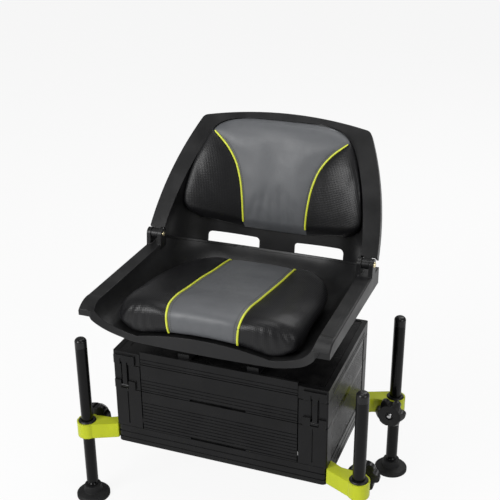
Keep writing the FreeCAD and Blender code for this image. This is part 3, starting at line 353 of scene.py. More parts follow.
def moulded_plastic(name, colour, gloss, grain_scale=1500.0, edge=0.0012):
    """Grained black plastic with soft edges painted lighter as a highlight, and a paler tone on
    faces that look up.
    """
    pale_colour = (0.3, 0.3, 0.29, 1.0)
    finish = Finish(name, specular=0.28)
    grain = finish.use("mould", Scale=grain_scale)
    # Painted highlight: the edge mask lightens the plastic to 3.2 times its colour along its edges.
    wear = finish.use("wear", Radius=edge, Amount=0.5)["Mask"]
    dust = finish.use("dust", Amount=0.05)["Mask"]
    toned = finish.net.mix(grain["Tone"], shade(colour, 0.8), shade(colour, 1.25))
    finish.colour(dust, finish.net.mix(wear, toned, shade(colour, 3.2)), pale_colour)
    finish.roughness(grain["Tone"], gloss - 0.04, gloss + 0.06)
    finish.bump(grain["Height"], 0.09 * MM, 0.5, finish.soft_edges(edge))
    return finish.material


def coated_metal(name, colour, gloss, metallic=0.0, along=(4.0, 500.0, 500.0), edge=0.0008,
                 bare=(0.2, 0.2, 0.21), spread=0.2, wear_and_highlight_share=0.22):
    """Anodised or lacquered alloy: drawn lines, soft edges that wear through to bare metal."""
    pale_colour = (0.32, 0.31, 0.3, 1.0)
    finish = Finish(name, metallic=metallic, specular=0.2)
    lines = finish.use("lines", Stretch=along)
    wear = finish.use("wear", Radius=0.6 * MM, Amount=wear_and_highlight_share)["Mask"]
    dust = finish.use("dust", Amount=0.04)["Mask"]
    toned = finish.net.mix(lines["Tone"], shade(colour, 1 - spread), shade(colour, 1 + spread))
    # Faces that look up take a paler tone in patches.
    finish.colour(dust, finish.net.mix(wear, toned, shade(bare)), pale_colour)
    finish.roughness(lines["Tone"], gloss - 0.04, gloss + 0.05)
    finish.bump(lines["Height"], 0.01 * MM, 0.4, finish.soft_edges(edge) if edge else None)
    return finish.material


def bright_metal(name, colour, gloss):
    """Turned or plated steel and brass."""
    finish = Finish(name, metallic=1.0)
    lines = finish.use("lines", Stretch=(700.0, 700.0, 700.0))
    finish.colour(lines["Tone"], shade(colour, 0.75), shade(colour, 1.1))
    finish.roughness(lines["Tone"], gloss, gloss + 0.12)
    finish.bump(lines["Height"], 0.03 * MM, 0.5)
    return finish.material


def sewing_thread(name, colour):
    """Matt twisted thread."""
    finish = Finish(name, sheen=0.2)
    lines = finish.use("lines", Stretch=(2500.0, 2500.0, 2500.0))
    finish.colour(lines["Height"], shade(colour, 0.7), shade(colour, 1.2))
    finish.roughness(lines["Height"], 0.6, 0.8)
    return finish.material


materials = {}


def build_materials():
    """One material for each finish, kept by the name of its slot or its own."""
    c = colours()
    grey, black, cord, lime, plastic, metal = (tuple(v) for v in (
        c.vinyl_grey, c.vinyl_black, c.piping, c.lime, c.plastic, c.metal))
    materials.update({
        "grey_vinyl": vinyl("grey_vinyl", grey, 0.5, 0.05),
        "mesh_vinyl": mesh_vinyl("mesh_vinyl", black),
        "piping_vinyl": vinyl("piping_vinyl", cord, 0.38, 0.08, 1600.0),
        "thread": sewing_thread("thread", (0.012, 0.012, 0.013)),
        "shell_black": moulded_plastic("shell_plastic", plastic, 0.34, edge=0.0018),
        "tray_black": moulded_plastic("tray_plastic", plastic, 0.45),
        "cap_black": moulded_plastic("cap_plastic", plastic, 0.2, 2200.0),
        "collar_black": moulded_plastic("collar_plastic", plastic, 0.4),
        "knob_black": moulded_plastic("knob_plastic", plastic, 0.3, edge=0.002),
        "foot_black": moulded_plastic("foot_rubber", plastic, 0.6, 900.0, 0.003),
        "bearing_ring": moulded_plastic("bearing_plastic", (0.6, 0.6, 0.58), 0.5),
        "alloy_black": coated_metal("panel_alloy", metal, 0.24, edge=0.0, wear_and_highlight_share=0.05),
        "casting_black": coated_metal("casting_alloy", metal, 0.34, edge=0.0005, wear_and_highlight_share=0.12,
                                      along=(500.0, 500.0, 500.0)),
        "latch_black": coated_metal("latch_alloy", metal, 0.3, along=(900.0, 900.0, 8.0)),
        "leg_black": coated_metal("leg_alloy", metal, 0.2, 0.2, along=(900.0, 900.0, 5.0)),
        "hinge_black": coated_metal("hinge_steel", metal, 0.4),
        "strap_black": coated_metal("strap_steel", metal, 0.3),
        "swivel_plate": coated_metal("swivel_steel", (0.03, 0.03, 0.031), 0.35, 0.3),
        "arm_lime": coated_metal("arm_lacquer", lime, 0.25, along=(300.0, 300.0, 300.0),
                                 edge=0.0025, bare=(0.3, 0.33, 0.05), spread=0.04),
        "pin_steel": bright_metal("pin_steel", (0.55, 0.55, 0.56), 0.22),
        "pin_brass": bright_metal("pin_brass", (0.78, 0.68, 0.42), 0.25),
    })


# Mesh tools

def grid_faces(rows, columns, wrap=False):
    """Quads over a grid of rows by columns of points, as an index array; wrap joins its sides."""
    i = np.arange(rows - 1)[:, None] * columns
    j = np.arange(columns if wrap else columns - 1)[None, :]
    k = (j + 1) % columns
    return np.stack([i + j, i + k, i + columns + k, i + columns + j], -1).reshape(-1, 4)


def circle(sides):
    """Cosines and sines of even steps round a circle, as two columns."""
    a = np.arange(sides) * 2 * math.pi / sides
    return np.cos(a)[:, None], np.sin(a)[:, None]


def make_piece(name, points, faces, finishes, smooth=True, zones=None):
    """A mesh object at the origin from arrays of points and quads; zones number its finishes."""
    mesh = bpy.data.meshes.new(name)
    mesh.vertices.add(len(points))
    mesh.vertices.foreach_set("co", np.asarray(points, np.float32).ravel())
    faces = np.asarray(faces, np.int32)
    mesh.loops.add(faces.size)
    mesh.loops.foreach_set("vertex_index", faces.ravel())
    mesh.polygons.add(len(faces))
    starts = np.arange(len(faces), dtype=np.int32) * faces.shape[1]
    mesh.polygons.foreach_set("loop_start", starts)
    mesh.update(calc_edges=True)
    mesh.polygons.foreach_set("use_smooth", np.full(len(faces), smooth))
    for finish in finishes:
        mesh.materials.append(materials[finish])
    if zones is not None:
        mesh.polygons.foreach_set("material_index", np.asarray(zones, np.int32))
    mesh.validate()
    piece = bpy.data.objects.new(name, mesh)
    bpy.context.scene.collection.objects.link(piece)
    return piece


def mesh_points(mesh):
    """A mesh's corners, as an array."""
    points = np.empty(len(mesh.vertices) * 3, np.float32)
    mesh.vertices.foreach_get("co", points)
    return points.reshape(-1, 3).astype(float)


def unit(vectors):
    """Vectors of a list, each divided by its length."""
    return vectors / np.linalg.norm(vectors, axis=1)[:, None]


def tube_along(path, radius, sides):
    """A round tube: circles square to the path, set out from one fixed guide, with pointed ends."""
    guide, tip = np.array([0.13, 0.31, 0.94]), 0.6
    ahead = unit(np.gradient(path, axis=0))
    side = unit(np.cross(ahead, guide))
    other = np.cross(ahead, side)
    cosine, sine = circle(sides)
    ring = cosine[None] * side[:, None] + sine[None] * other[:, None]
    points = (path[:, None] + radius * ring).reshape(-1, 3)
    first, last, top = len(points), len(points) + 1, len(points) - sides
    ends = [path[0] - ahead[0] * radius * tip, path[-1] + ahead[-1] * radius * tip]
    j = np.arange(sides)
    k = (j + 1) % sides
    low = np.stack([k, j, np.full(sides, first), np.full(sides, first)], -1)
    high = np.stack([top + j, top + k, np.full(sides, last), np.full(sides, last)], -1)
    faces = np.vstack([grid_faces(len(path), sides, wrap=True), low, high])
    return np.vstack([points, ends]), faces


def resample(path, count, values=None):
    """The path, or values that belong to its points, at even distances, by linear steps."""
    values = path if values is None else values
    step = np.r_[0.0, np.cumsum(np.linalg.norm(np.diff(path, axis=0), axis=1))]
    at = np.linspace(0.0, step[-1], count)
    return np.stack([np.interp(at, step, values[:, i]) for i in range(3)], -1)


def smooth_through(knots, values, at):
    """A smooth curve through values at knots: cubic Hermite steps, slopes from the neighbours."""
    slope = np.gradient(values, knots, axis=0)
    i = np.clip(np.searchsorted(knots, at) - 1, 0, len(knots) - 2)
    h = knots[i + 1] - knots[i]
    s = (at - knots[i]) / h
    if values.ndim > 1:
        s, h = s[:, None], h[:, None]
    return (values[i] * (2 * s ** 3 - 3 * s ** 2 + 1) + slope[i] * h * (s ** 3 - 2 * s ** 2 + s) +
            values[i + 1] * (3 * s ** 2 - 2 * s ** 3) + slope[i + 1] * h * (s ** 3 - s ** 2))


def steps(count):
    """Even portions of 1, without 0."""
    return np.linspace(0, 1, count + 1)[1:]


def face_normals(points):
    """Unit normals of a grid of points, from its two directions."""
    normal = np.cross(np.gradient(points, axis=1), np.gradient(points, axis=0))
    return normal / np.maximum(np.linalg.norm(normal, axis=2), 1e-9)[..., None]


# Cushions

def in_box_frame(points):
    """Millimetres across, back from the box's front and up from its rim, to the model's metres."""
    return points * MM + np.array([0.0, FRONT_Y, RIM_Z])


def back_frame(u, v, w):
    """Backrest coordinates to the model's: across, up the flange and behind it from its pin."""
    y = HINGE.y + w * math.cos(RECLINE) + v * math.sin(RECLINE)
    z = HINGE.z + v * math.cos(RECLINE) - w * math.sin(RECLINE)
    return np.stack(np.broadcast_arrays(u, y, z), -1)


def creases(across, along, marks):
    """Depth of soft folds: each is a trough about a short line that fades at its ends.

    A mark gives the line's middle, its direction in degrees, its half length, width and depth.
    Depth is deep * exp(-(side / width)^2 - (length / reach)^4).
    """
    depth = np.zeros(np.broadcast(across, along).shape)
    for x, y, turn, reach, width, deep in marks:
        c, s = math.cos(math.radians(turn)), math.sin(math.radians(turn))
        length = (across - x) * c + (along - y) * s
        side = (along - y) * c - (across - x) * s
        depth += deep * np.exp(-(side / width) ** 2 - (length / reach) ** 4)
    return depth


def both_hands(marks):
    """Marks and their mirror images, the images a little longer and turned a little further."""
    return marks + [(-x, y, 183 - turn, 1.1 * reach, width, deep)
                    for x, y, turn, reach, width, deep in marks]


class Pad:
    """A pad's top surface and its underside as two grids that share their rim.

    Rows run along the pad, columns across it; the two seam columns part its three panels.
    """

    def __init__(self, top, under, seams):
        rows, columns = self.shape = top.shape[:2]
        self.seams = seams
        self.top = slice(0, rows * columns)
        lower = np.arange(rows * columns).reshape(rows, columns)
        inner = (rows - 2) * (columns - 2)
        lower[1:-1, 1:-1] = rows * columns + np.arange(inner).reshape(rows - 2, columns - 2)
        faces = grid_faces(rows, columns)
        below = lower.ravel()[faces][:, ::-1]
        self.points = np.vstack([top.reshape(-1, 3), under[1:-1, 1:-1].reshape(-1, 3)])
        self.faces = np.vstack([faces, below])
        column = np.arange(columns - 1)
        outer = (column < seams[0]) | (column >= seams[1])
        self.zones = np.concatenate([np.tile(outer, rows - 1), np.ones(len(below))])

    def free(self):
        """Which points of the top may move: all but the rim's and the seams'."""
        free = np.ones(self.shape, bool)
        free[[0, -1]] = free[:, [0, -1]] = free[:, self.seams] = False
        return free


def blow_up(piece, pad):
    """Fills a pad by a short cloth simulation, in which the vinyl has a little slack.

    Points on the rim, the seams and the underside stay. The others keep the outward part d of
    their move as puff * tanh(d / puff), so that no point rises further than the puff. The rises
    are then averaged with their neighbours' a few times, as foam under the vinyl evens them out.
    """
    rest = mesh_points(piece.data)
    slack, last_frame, foam_passes = 0.004, 20, 30
    free = pad.free()
    held = np.ones(len(rest), bool)
    held[pad.top] = ~free.ravel()
    piece.vertex_groups.new(name="held").add(np.flatnonzero(held).tolist(), 1.0, "REPLACE")
    cloth = piece.modifiers.new("Fill", "CLOTH").settings
    for name, value in {"quality": 6, "mass": 0.35, "tension_stiffness": 25.0,
                        "compression_stiffness": 25.0, "shear_stiffness": 12.0,
                        "bending_stiffness": 8.0, "shrink_min": -slack, "use_pressure": True,
                        "uniform_pressure_force": sizes().pressure,
                        "vertex_group_mass": "held"}.items():
        setattr(cloth, name, value)
    cloth.effector_weights.gravity = 0.0
    scene = bpy.context.scene
    for number in range(1, last_frame + 1):
        scene.frame_set(number)
    moved = mesh_points(piece.evaluated_get(bpy.context.evaluated_depsgraph_get()).data)
    scene.frame_set(1)
    piece.modifiers.clear()
    piece.vertex_groups.clear()
    puff = sizes().puff
    outward = face_normals(rest[pad.top].reshape(*pad.shape, 3))
    rise = ((moved - rest)[pad.top].reshape(outward.shape) * outward).sum(-1)
    rise = puff * np.tanh(np.maximum(rise, 0.0) / puff) * free
    for _ in range(foam_passes):
        beside = (rise[:-2, 1:-1] + rise[2:, 1:-1] + rise[1:-1, :-2] + rise[1:-1, 2:]) / 4
        rise[1:-1, 1:-1] = 0.5 * (rise[1:-1, 1:-1] + beside) * free[1:-1, 1:-1]
    placed = rest.copy()
    placed[pad.top] += (rise[..., None] * outward).reshape(-1, 3)
    piece.data.vertices.foreach_set("co", placed.astype(np.float32).ravel())
    piece.data.update()
    return placed


def add_cloth_map(piece, pad, points):
    """A UV map in metres: distances along the top grid's own rows and columns."""
    top = points[pad.top].reshape(*pad.shape, 3)
    across = np.cumsum(np.linalg.norm(np.diff(top, axis=1, prepend=top[:, :1]), axis=2), axis=1)
    along = np.cumsum(np.linalg.norm(np.diff(top, axis=0, prepend=top[:1]), axis=2), axis=0)
    across -= across[:, pad.shape[1] // 2][:, None]
    uv = np.zeros((len(points), 2))
    uv[pad.top] = np.stack([across, along], -1).reshape(-1, 2)
    loops = np.empty(len(piece.data.loops), np.int32)
    piece.data.loops.foreach_get("vertex_index", loops)
    layer = piece.data.uv_layers.new(name="cloth")
    layer.data.foreach_set("uv", uv[loops].astype(np.float32).ravel())


def pan_height(x, y):
    """Height of the pan's inside over the box's rim, in millimetres, at a place in its frame.

    A floor that falls gently backward, walls that climb beyond it, and a swell in front: a
    parabola across the floor that fades backward.
    """
    floor = 64.0 - 0.065 * (y - 250.0)
    wall = np.interp(np.abs(x), [128.0, 158.0, 187.0, 205.0], [0.0, 5.5, 19.5, 39.0])
    rise = np.interp(y, [-90.0, -30.0, 110.0], [22.0, 15.0, 1.5])
    half = np.interp(y, [-90.0, -30.0, 110.0], [150.0, 140.0, 110.0])
    swell = rise * (1 - (x / half) ** 2) - 2.0
    return floor + np.maximum(wall, swell)


# The seat pad's rows, in millimetres across, back from the box's front and up from its rim:
# step, crown (y, z), widest point (x, y, z) and foot (x, y, z)
SEAT_ROWS = np.array([
    (0.0, -61, 106, 158, -52, 95, 149, -44, 92),
    (1.0, -68, 125, 176, -48, 104, 158, -38, 92),
    (2.0, -64, 146, 183, -36, 111, 160, -24, 92),
    (3.0, -47, 158, 184.5, -18, 116, 158, -6, 92),
    (4.0, -20, 159.5, 184, 4, 119, 153, 10, 92),
    (6.0, 40, 151, 182, 47, 118, 143, 47, 90),
    (9.0, 110, 140.5, 181, 110, 113, 134, 108, 84),
    (12.0, 175, 129, 172, 171, 107, 123, 166, 76),
    (15.0, 240, 119, 146, 230, 103, 109, 220, 71),
    (17.0, 268, 111.5, 113, 255, 101, 92, 243, 72),
    (18.5, 277, 98, 88, 265, 92, 76, 252, 80)])

# Folds of the seat pad: across and along its rows from the front edge, in millimetres
SEAT_FOLDS = both_hands([
    (96, 20, 86, 22, 5, 1.8), (113, 24, 94, 26, 5.5, 2.3), (131, 26, 102, 26, 5.5, 2.6),
    (148, 30, 112, 24, 6, 2.4), (162, 42, 124, 20, 6, 1.9), (84, 16, 82, 16, 4.5, 1.2),
    (134, 120, 62, 34, 12, 0.7), (118, 250, 104, 40, 14, 0.7), (106, 330, 115, 30, 11, 0.7)])
SEAT_FOLDS += [(-34, 22, 84, 14, 6, 0.8), (6, 20, 95, 12, 6, 0.7), (40, 23, 97, 14, 6, 0.8)]


def seat_cushion_grid():
    """The seat pad's top, its underside and its seam columns.

    A smooth curve through the rows gives each cross-section its crown, widest point and foot.
    Over the middle panel the section falls by a small share p^2 of the way to the widest point.
    From the seam it falls the rest of the way by 1 - cos(pi / 2 * p^1.25), and then turns under to
    the foot by a quarter ellipse. A valley lies at each seam, and the side panels swell. The first
    rows settle on to the pan, and the underside is a chord that stays over it.
    """
    at = np.unique(np.concatenate([np.linspace(0, 4, 30), np.linspace(4, 17, 70),
                                   np.linspace(17, 18.5, 8)]))
    row = smooth_through(SEAT_ROWS[:, 0], SEAT_ROWS[:, 1:], at)
    crown, half, side, foot_x, foot = row[:, 0:2], row[:, 2], row[:, 3:5], row[:, 5], row[:, 6:8]
    seam = np.interp(at, [0, 3, 9, 18.5], [68.5, 74.5, 76.0, 73.0])
    inward = unit(side - crown)
    middle_count, side_count, wall_count = 18, 27, 8
    middle_fall, valley, swell = 0.05, 3.4, 2.2
    settled, front_rest, rest = 1.5, 5.0, 1.5
    one_side = []

    def add(x, share, dent):
        one_side.append((x, crown + (side - crown) * share + inward * dent))
    for p in steps(middle_count):
        add(seam * p, middle_fall * p ** 2, valley * p ** 7)
    for p in steps(side_count):
        x = seam + (half - seam) * np.sin(0.5 * math.pi * p) ** 0.92
        fall = middle_fall + (1 - middle_fall) * (1 - np.cos(0.5 * math.pi * p ** 1.25))
        add(x, fall, valley * (1 - p) ** 8 - swell * np.sin(math.pi * p ** 0.8))
    for p in steps(wall_count):
        turn = 0.5 * math.pi * p
        x = half - (half - foot_x) * (1 - math.cos(turn))
        one_side.append((x, side + (foot - side) * math.sin(turn)))
    columns = [(-x, p) for x, p in reversed(one_side)] + [(0 * seam, crown)] + one_side
    x = np.stack([c[0] for c in columns], 1)
    y, z = (np.stack([c[1][:, i] for c in columns], 1) for i in (0, 1))
    settle = np.clip(1 - at / settled, 0, 1)[:, None] ** 2
    z = z + settle * (pan_height(x, y) + front_rest - z)
    z = np.maximum(z, pan_height(x, y) + rest)
    top = np.stack([x, y, z], -1)
    step = np.linalg.norm(np.diff(crown, axis=0, prepend=crown[:1]), axis=1)
    top -= face_normals(top) * creases(x, np.cumsum(step)[:, None], SEAT_FOLDS)[..., None]
    t = np.linspace(0, 1, x.shape[1])[None, :, None]
    under = top[:, :1] * (1 - t) + top[:, -1:] * t
    under[..., 2] = np.maximum(under[..., 2], pan_height(under[..., 0], under[..., 1]) + rest)
    middle = len(one_side)
    return in_box_frame(top), in_box_frame(under), (middle - middle_count, middle + middle_count)


# Folds of the back pad: across and up the flange from its pin, in millimetres
BACK_FOLDS = both_hands([
    (118, 92, 74, 26, 8, 0.9), (142, 116, 66, 30, 9, 1.0), (168, 150, 80, 34, 9, 0.9),
    (104, 150, 96, 30, 9, 0.7), (150, 86, 58, 18, 6, 0.8)])
BACK_FOLDS += [(-50, 96, 70, 30, 8, 2.0), (-28, 102, 80, 40, 9, 2.4), (-6, 94, 93, 34, 8, 1.7),
               (15, 104, 92, 42, 9, 2.4), (36, 98, 102, 36, 8, 2.1), (55, 92, 110, 28, 8, 1.8)]

# The back pad's rows, in millimetres up the flange from its pin, across, and behind the flange:
# height, half width, depth at the middle, depth at the side, seam's place across
BACK_ROWS = np.array([
    (64, 160, 88, 46, 71),
    (71, 184, 78, 36, 71.3),
    (82, 197.5, 69, 27, 71.8),
    (98, 200.5, 58, 19, 73),
    (120, 198, 45, 11, 75.5),
    (155, 190.5, 27, 1, 82.5),
    (190, 180, 10.5, -6, 97),
    (220, 168.5, -2, -10, 121.5),
    (244, 156, -10, -12, 151),
    (264, 139, -13.5, -10, 178),
    (278, 112, -11.5, -7, 197),
    (287, 78, -5, -4, 209)])


def back_cushion_grid():
    """The back pad's front and back, its seam columns, and each row's seam and half width.

    Each row is an arc, centre + (side - centre) * |x / half|^2.1, that wraps back at its ends by
    the rim's drop. The seams spread from the foot to the shoulders, so the middle panel widens
    upward. A valley lies at each seam, and the side panels swell and roll back toward their edges
    where they are wide. The first and last rows turn back too. The back lies a pad's thickness
    behind the front and thins to nothing at the rim.
    """
    middle_count, side_count, wall_count, end_rows = 27, 26, 6, 8
    valley, thickness, rim_drop, rim_in, rim_gap = 4.5, 13.0, 15.0, 5.0, 0.5
    foot_turn, head_turn, waist = 14.0, 12.0, 170.0
    swell_deep, swell_room, roll_deep, roll_room = 7.0, 80.0, 9.0, 40.0
    at = np.unique(np.concatenate([np.linspace(64, 82, 9), np.linspace(82, 264, 62),
                                   np.linspace(264, 287, 9)]))
    half, centre, side, seam = smooth_through(BACK_ROWS[:, 0], BACK_ROWS[:, 1:], at).T
    seam = np.minimum(seam, half - rim_gap)
    room = half - seam
    swell = swell_deep * np.clip(room / swell_room, 0, 1)
    roll = roll_deep * np.clip(room / roll_room, 0, 1)

    def depth(x):
        return centre + (side - centre) * (np.abs(x) / half) ** 2.1
    one_side = []
    for p in steps(middle_count):
        one_side.append((seam * p, depth(seam * p) + valley * p ** 8))
    for p in steps(side_count):
        x = seam + room * np.sin(0.5 * math.pi * p) ** 0.95
        bulge = swell * np.sin(math.pi * p ** 0.9)
        one_side.append((x, depth(x) + valley * (1 - p) ** 7 - bulge + roll * p ** 5))
    last_x, last_w = one_side[-1]
    for p in steps(wall_count):
        one_side.append((last_x - rim_in * p ** 2, last_w + rim_drop * p))
    columns = [(-x, w) for x, w in reversed(one_side)] + [(0 * seam, depth(0 * seam))] + one_side
    u, w = (np.stack([c[i] for c in columns], 1) for i in (0, 1))
    turn = np.zeros(len(at))
    turn[:end_rows] = np.linspace(1, 0, end_rows) ** 2
    turn[-end_rows:] = np.linspace(0, 1, end_rows) ** 2
    drop = np.where(at < waist, foot_turn, head_turn)
    w = w + (turn * drop)[:, None] + creases(u, at[:, None], BACK_FOLDS)
    wall = np.zeros(w.shape[1])
    wall[:wall_count + 1] = np.linspace(1, 0, wall_count + 1)
    wall[-wall_count - 1:] = np.linspace(0, 1, wall_count + 1)
    behind = w + thickness * (1 - turn)[:, None] * (1 - wall)[None, :]
    top, under = (back_frame(u * MM, at[:, None] * MM, deep * MM) for deep in (w, behind))
    middle = len(one_side)
    return top, under, (middle - middle_count, middle + middle_count), seam, half


def build_pad(name, top, under, seams, body, node):
    """Makes a pad from its two grids, fills it, dresses it, hangs it on its body and hides the node
    that it stands in for.
    """
    pad = Pad(top, under, seams)
    finishes = ["grey_vinyl", "mesh_vinyl"]
    piece = make_piece(name, pad.points, pad.faces, finishes, zones=pad.zones)
    placed = blow_up(piece, pad)
    add_cloth_map(piece, pad, placed)
    finer = piece.modifiers.new("Finer", "SUBSURF")
    finer.levels = finer.render_levels = 1
    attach(piece, body)
    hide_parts(node)
    return placed[pad.top].reshape(*pad.shape, 3)


def build_piping(name, top, columns, body, rows):
    """Cord in vinyl, lying in each seam and standing proud of it."""
    proud, count, sides = 0.75, 150, 12
    radius = sizes().piping
    for number, column in enumerate(columns):
        path = (top + face_normals(top) * radius * proud)[rows, column]
        points, faces = tube_along(resample(path, count), radius, sides)
        piece = make_piece(f"{name}_{number + 1}", points, faces, ["piping_vinyl"])
        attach(piece, body)


def build_stitches(name, top, columns, body, rows):
    """A line of short stitches beside each seam, on the middle panel.

    A stitch is a hexagon carried between two evenly spaced points of the surface: thin and sunk at
    its ends, full and proud between them, and closed by two quads at each end.
    """
    outward = face_normals(top)
    thread, shown, sides, away = 0.45 * MM, 0.62, 6, 2
    along, size, height = np.array([(0.0, 0.3, -0.3), (0.15, 1.0, 0.5), (0.85, 1.0, 0.5),
                                    (1.0, 0.3, -0.3)]).T
    cosine, sine = circle(sides)
    far = (len(along) - 1) * sides
    caps = np.array([(3, 2, 1, 0), (5, 4, 3, 0), (far, far + 1, far + 2, far + 3),
                     (far, far + 3, far + 4, far + 5)])
    one = np.vstack([grid_faces(len(along), sides, wrap=True), caps])
    for number, column in enumerate(columns):
        beside = column + (away if column < top.shape[1] // 2 else -away)
        path = top[rows, beside]
        length = np.linalg.norm(np.diff(path, axis=0), axis=1).sum()
        count = int(length / sizes().stitch)
        place = resample(path, count + 1)
        lift = unit(resample(path, count + 1, outward[rows, beside])[:-1])
        run = np.diff(place, axis=0) * shown
        across = unit(np.cross(lift, run))
        rise = lift[:, None] * (thread * height)[:, None]
        centre = place[:-1, None] + run[:, None] * along[:, None] + rise
        ring = cosine * across[:, None] + sine * lift[:, None]
        points = centre[:, :, None] + ring[:, None] * (thread * size)[:, None, None]
        shift = np.arange(count)[:, None, None] * len(along) * sides
        faces = (one[None] + shift).reshape(-1, 4)
        piece = make_piece(f"{name}_{number + 1}", points.reshape(-1, 3), faces, ["thread"])
        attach(piece, body)


# Small fittings

def turned(profile, centre, axis):
    """A turned piece: radius and height pairs, from its back's centre to its front's."""
    sides = 40
    axis = Vector(axis)
    side = np.array(axis.orthogonal().normalized())
    axis, centre = np.array(axis), np.array(centre)
    other = np.cross(axis, side)
    cosine, sine = circle(sides)
    ring = cosine * side + sine * other
    points = profile[:, :1, None] * ring[None] + profile[:, 1:, None] * axis + centre
    points = points.reshape(-1, 3)
    back_pole, front_pole, last = len(points), len(points) + 1, len(points) - sides
    poles = centre + np.outer(profile[[0, -1], 1], axis)
    j = np.arange(0, sides, 2)
    k, m = (j + 1) % sides, (j + 2) % sides
    back = np.stack([m, k, j, np.full_like(j, back_pole)], -1)
    front = np.stack([last + j, last + k, last + m, np.full_like(j, front_pole)], -1)
    faces = np.vstack([grid_faces(len(profile), sides, wrap=True), back, front])
    return np.vstack([points, poles]), faces


def build_knob_nuts():
    """A bright domed nut on the stud's end, in the hollow of each clamp knob."""
    hollow_floor, reach = 2.5 * MM, 4.6 * MM
    profile = np.array([(6.4, 0.0), (6.6, 0.5), (6.6, 1.0), (4.9, 1.2), (4.9, 3.0), (4.4, 3.9),
                        (3.2, 4.5), (1.4, 4.8)]) * MM
    profile[:, 1] *= reach / profile[-1, 1]
    for corner in ("front_left", "front_right", "back_left", "back_right"):
        low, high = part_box(f"clamp_knob_{corner}")
        leg_low, leg_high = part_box(f"leg_{corner}")
        centre, leg = 0.5 * (low + high), 0.5 * (leg_low + leg_high)
        way = 1.0 if centre.y > leg.y else -1.0
        face = high.y if way > 0 else low.y
        place = Vector((centre.x, face - way * hollow_floor, centre.z))
        points, faces = turned(profile, place, (0, way, 0))
        piece = make_piece(f"knob_nut_{corner}", points, faces, ["pin_steel"])
        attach(piece, f"knob_{corner}_clamp")


# The parting line of pan and backrest, in the box's frame: a place on it, its slope and its gap
SEAM_Y, SEAM_Z, SEAM_SLOPE, SEAM_GAP = 246.0, 154.0, -0.45, 0.7


def parting_height(y):
    """Height of the pan's side of the parting line."""
    return SEAM_Z - SEAM_GAP + SEAM_SLOPE * (y - SEAM_Y)


def build_seam_lip():
    """A thin lip on the pan's back edge, that laps the parting line from inside.

    The pan's own corners on the parting plane give its inner edge: the nearest to the middle in
    each direction. The lip is a flat bar along that edge, standing in the way that the wall flares.
    """
    near, behind, directions, count = 0.2, 6.0, 60, 90
    shell = mesh_points(frame["nodes"]["seat_shell"].data)
    local = (shell - np.array([0.0, FRONT_Y, RIM_Z])) / MM
    over = local[:, 2] - parting_height(local[:, 1])
    edge = local[(np.abs(over) < near) & (local[:, 1] > SEAM_Y + behind)]
    bearing = np.arctan2(edge[:, 1] - SEAM_Y, edge[:, 0])
    distance = np.hypot(edge[:, 0], edge[:, 1] - SEAM_Y)
    bins = np.linspace(0.0, math.pi, directions + 1)
    chosen = []
    for low, high in zip(bins[:-1], bins[1:]):
        inside = np.flatnonzero((bearing >= low) & (bearing < high))
        if len(inside):
            chosen.append(edge[inside[np.argmin(distance[inside])]])
    path = resample(np.array(chosen)[::-1], count)
    path[:, 2] = parting_height(path[:, 1])
    ahead = np.gradient(path, axis=0)
    inward = unit(np.stack([ahead[:, 1], -ahead[:, 0], np.zeros(len(path))], -1))
    flare, clear, thick = 0.4, 0.25, 1.1
    section = [(clear, -3.0), (clear, 2.2), (clear + 0.35 * thick, 2.6), (clear + thick, 2.1),
               (clear + thick, -2.4), (clear + 0.5 * thick, -3.0)]
    rings = [path + inward * (off - flare * up) + np.array([0.0, 0.0, up]) for off, up in section]
    points = in_box_frame(np.stack(rings, 1).reshape(-1, 3))
    sides = len(section)
    last = (len(path) - 1) * sides
    caps = [(0, 1, 2, 3), (0, 3, 4, 5), (last + 3, last + 2, last + 1, last),
            (last + 5, last + 4, last + 3, last)]
    faces = np.vstack([grid_faces(len(path), sides, wrap=True), caps])
    piece = make_piece("pan_lip", points, faces, ["shell_black"], smooth=False)
    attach(piece, "seat")


# Stage

def build_floor():
    """A wide pale floor, nearly white to the camera, with the object's soft shadow."""
    reach, camera_glow, gloss_glow = 40.0, 0.9, 0.35
    corners = reach * np.array([(-1, -1, 0), (1, -1, 0), (1, 1, 0), (-1, 1, 0)])
    finish = Finish("pale_floor", specular=0.1)
    finish.shader.inputs["Base Color"].default_value = (0.82, 0.82, 0.82, 1.0)
    finish.shader.inputs["Roughness"].default_value = 0.9
    net = finish.net
    glow = net.add("Emission", {"Color": (1, 1, 1, 1), "Strength": 1.0})
    rays = net.add("LightPath").outputs
    factor = net.math("MAXIMUM", net.math("MULTIPLY", rays["Is Camera Ray"], camera_glow),
                      net.math("MULTIPLY", rays["Is Glossy Ray"], gloss_glow))
    both = net.add("MixShader", {0: factor, 1: finish.shader.outputs[0], 2: glow.outputs[0]})
    out = next(n for n in net.tree.nodes if n.type == "OUTPUT_MATERIAL")
    net.join(both.outputs[0], out.inputs["Surface"])
    materials["floor"] = finish.material
    floor = make_piece("floor", corners, [(0, 1, 2, 3)], ["floor"], smooth=False)


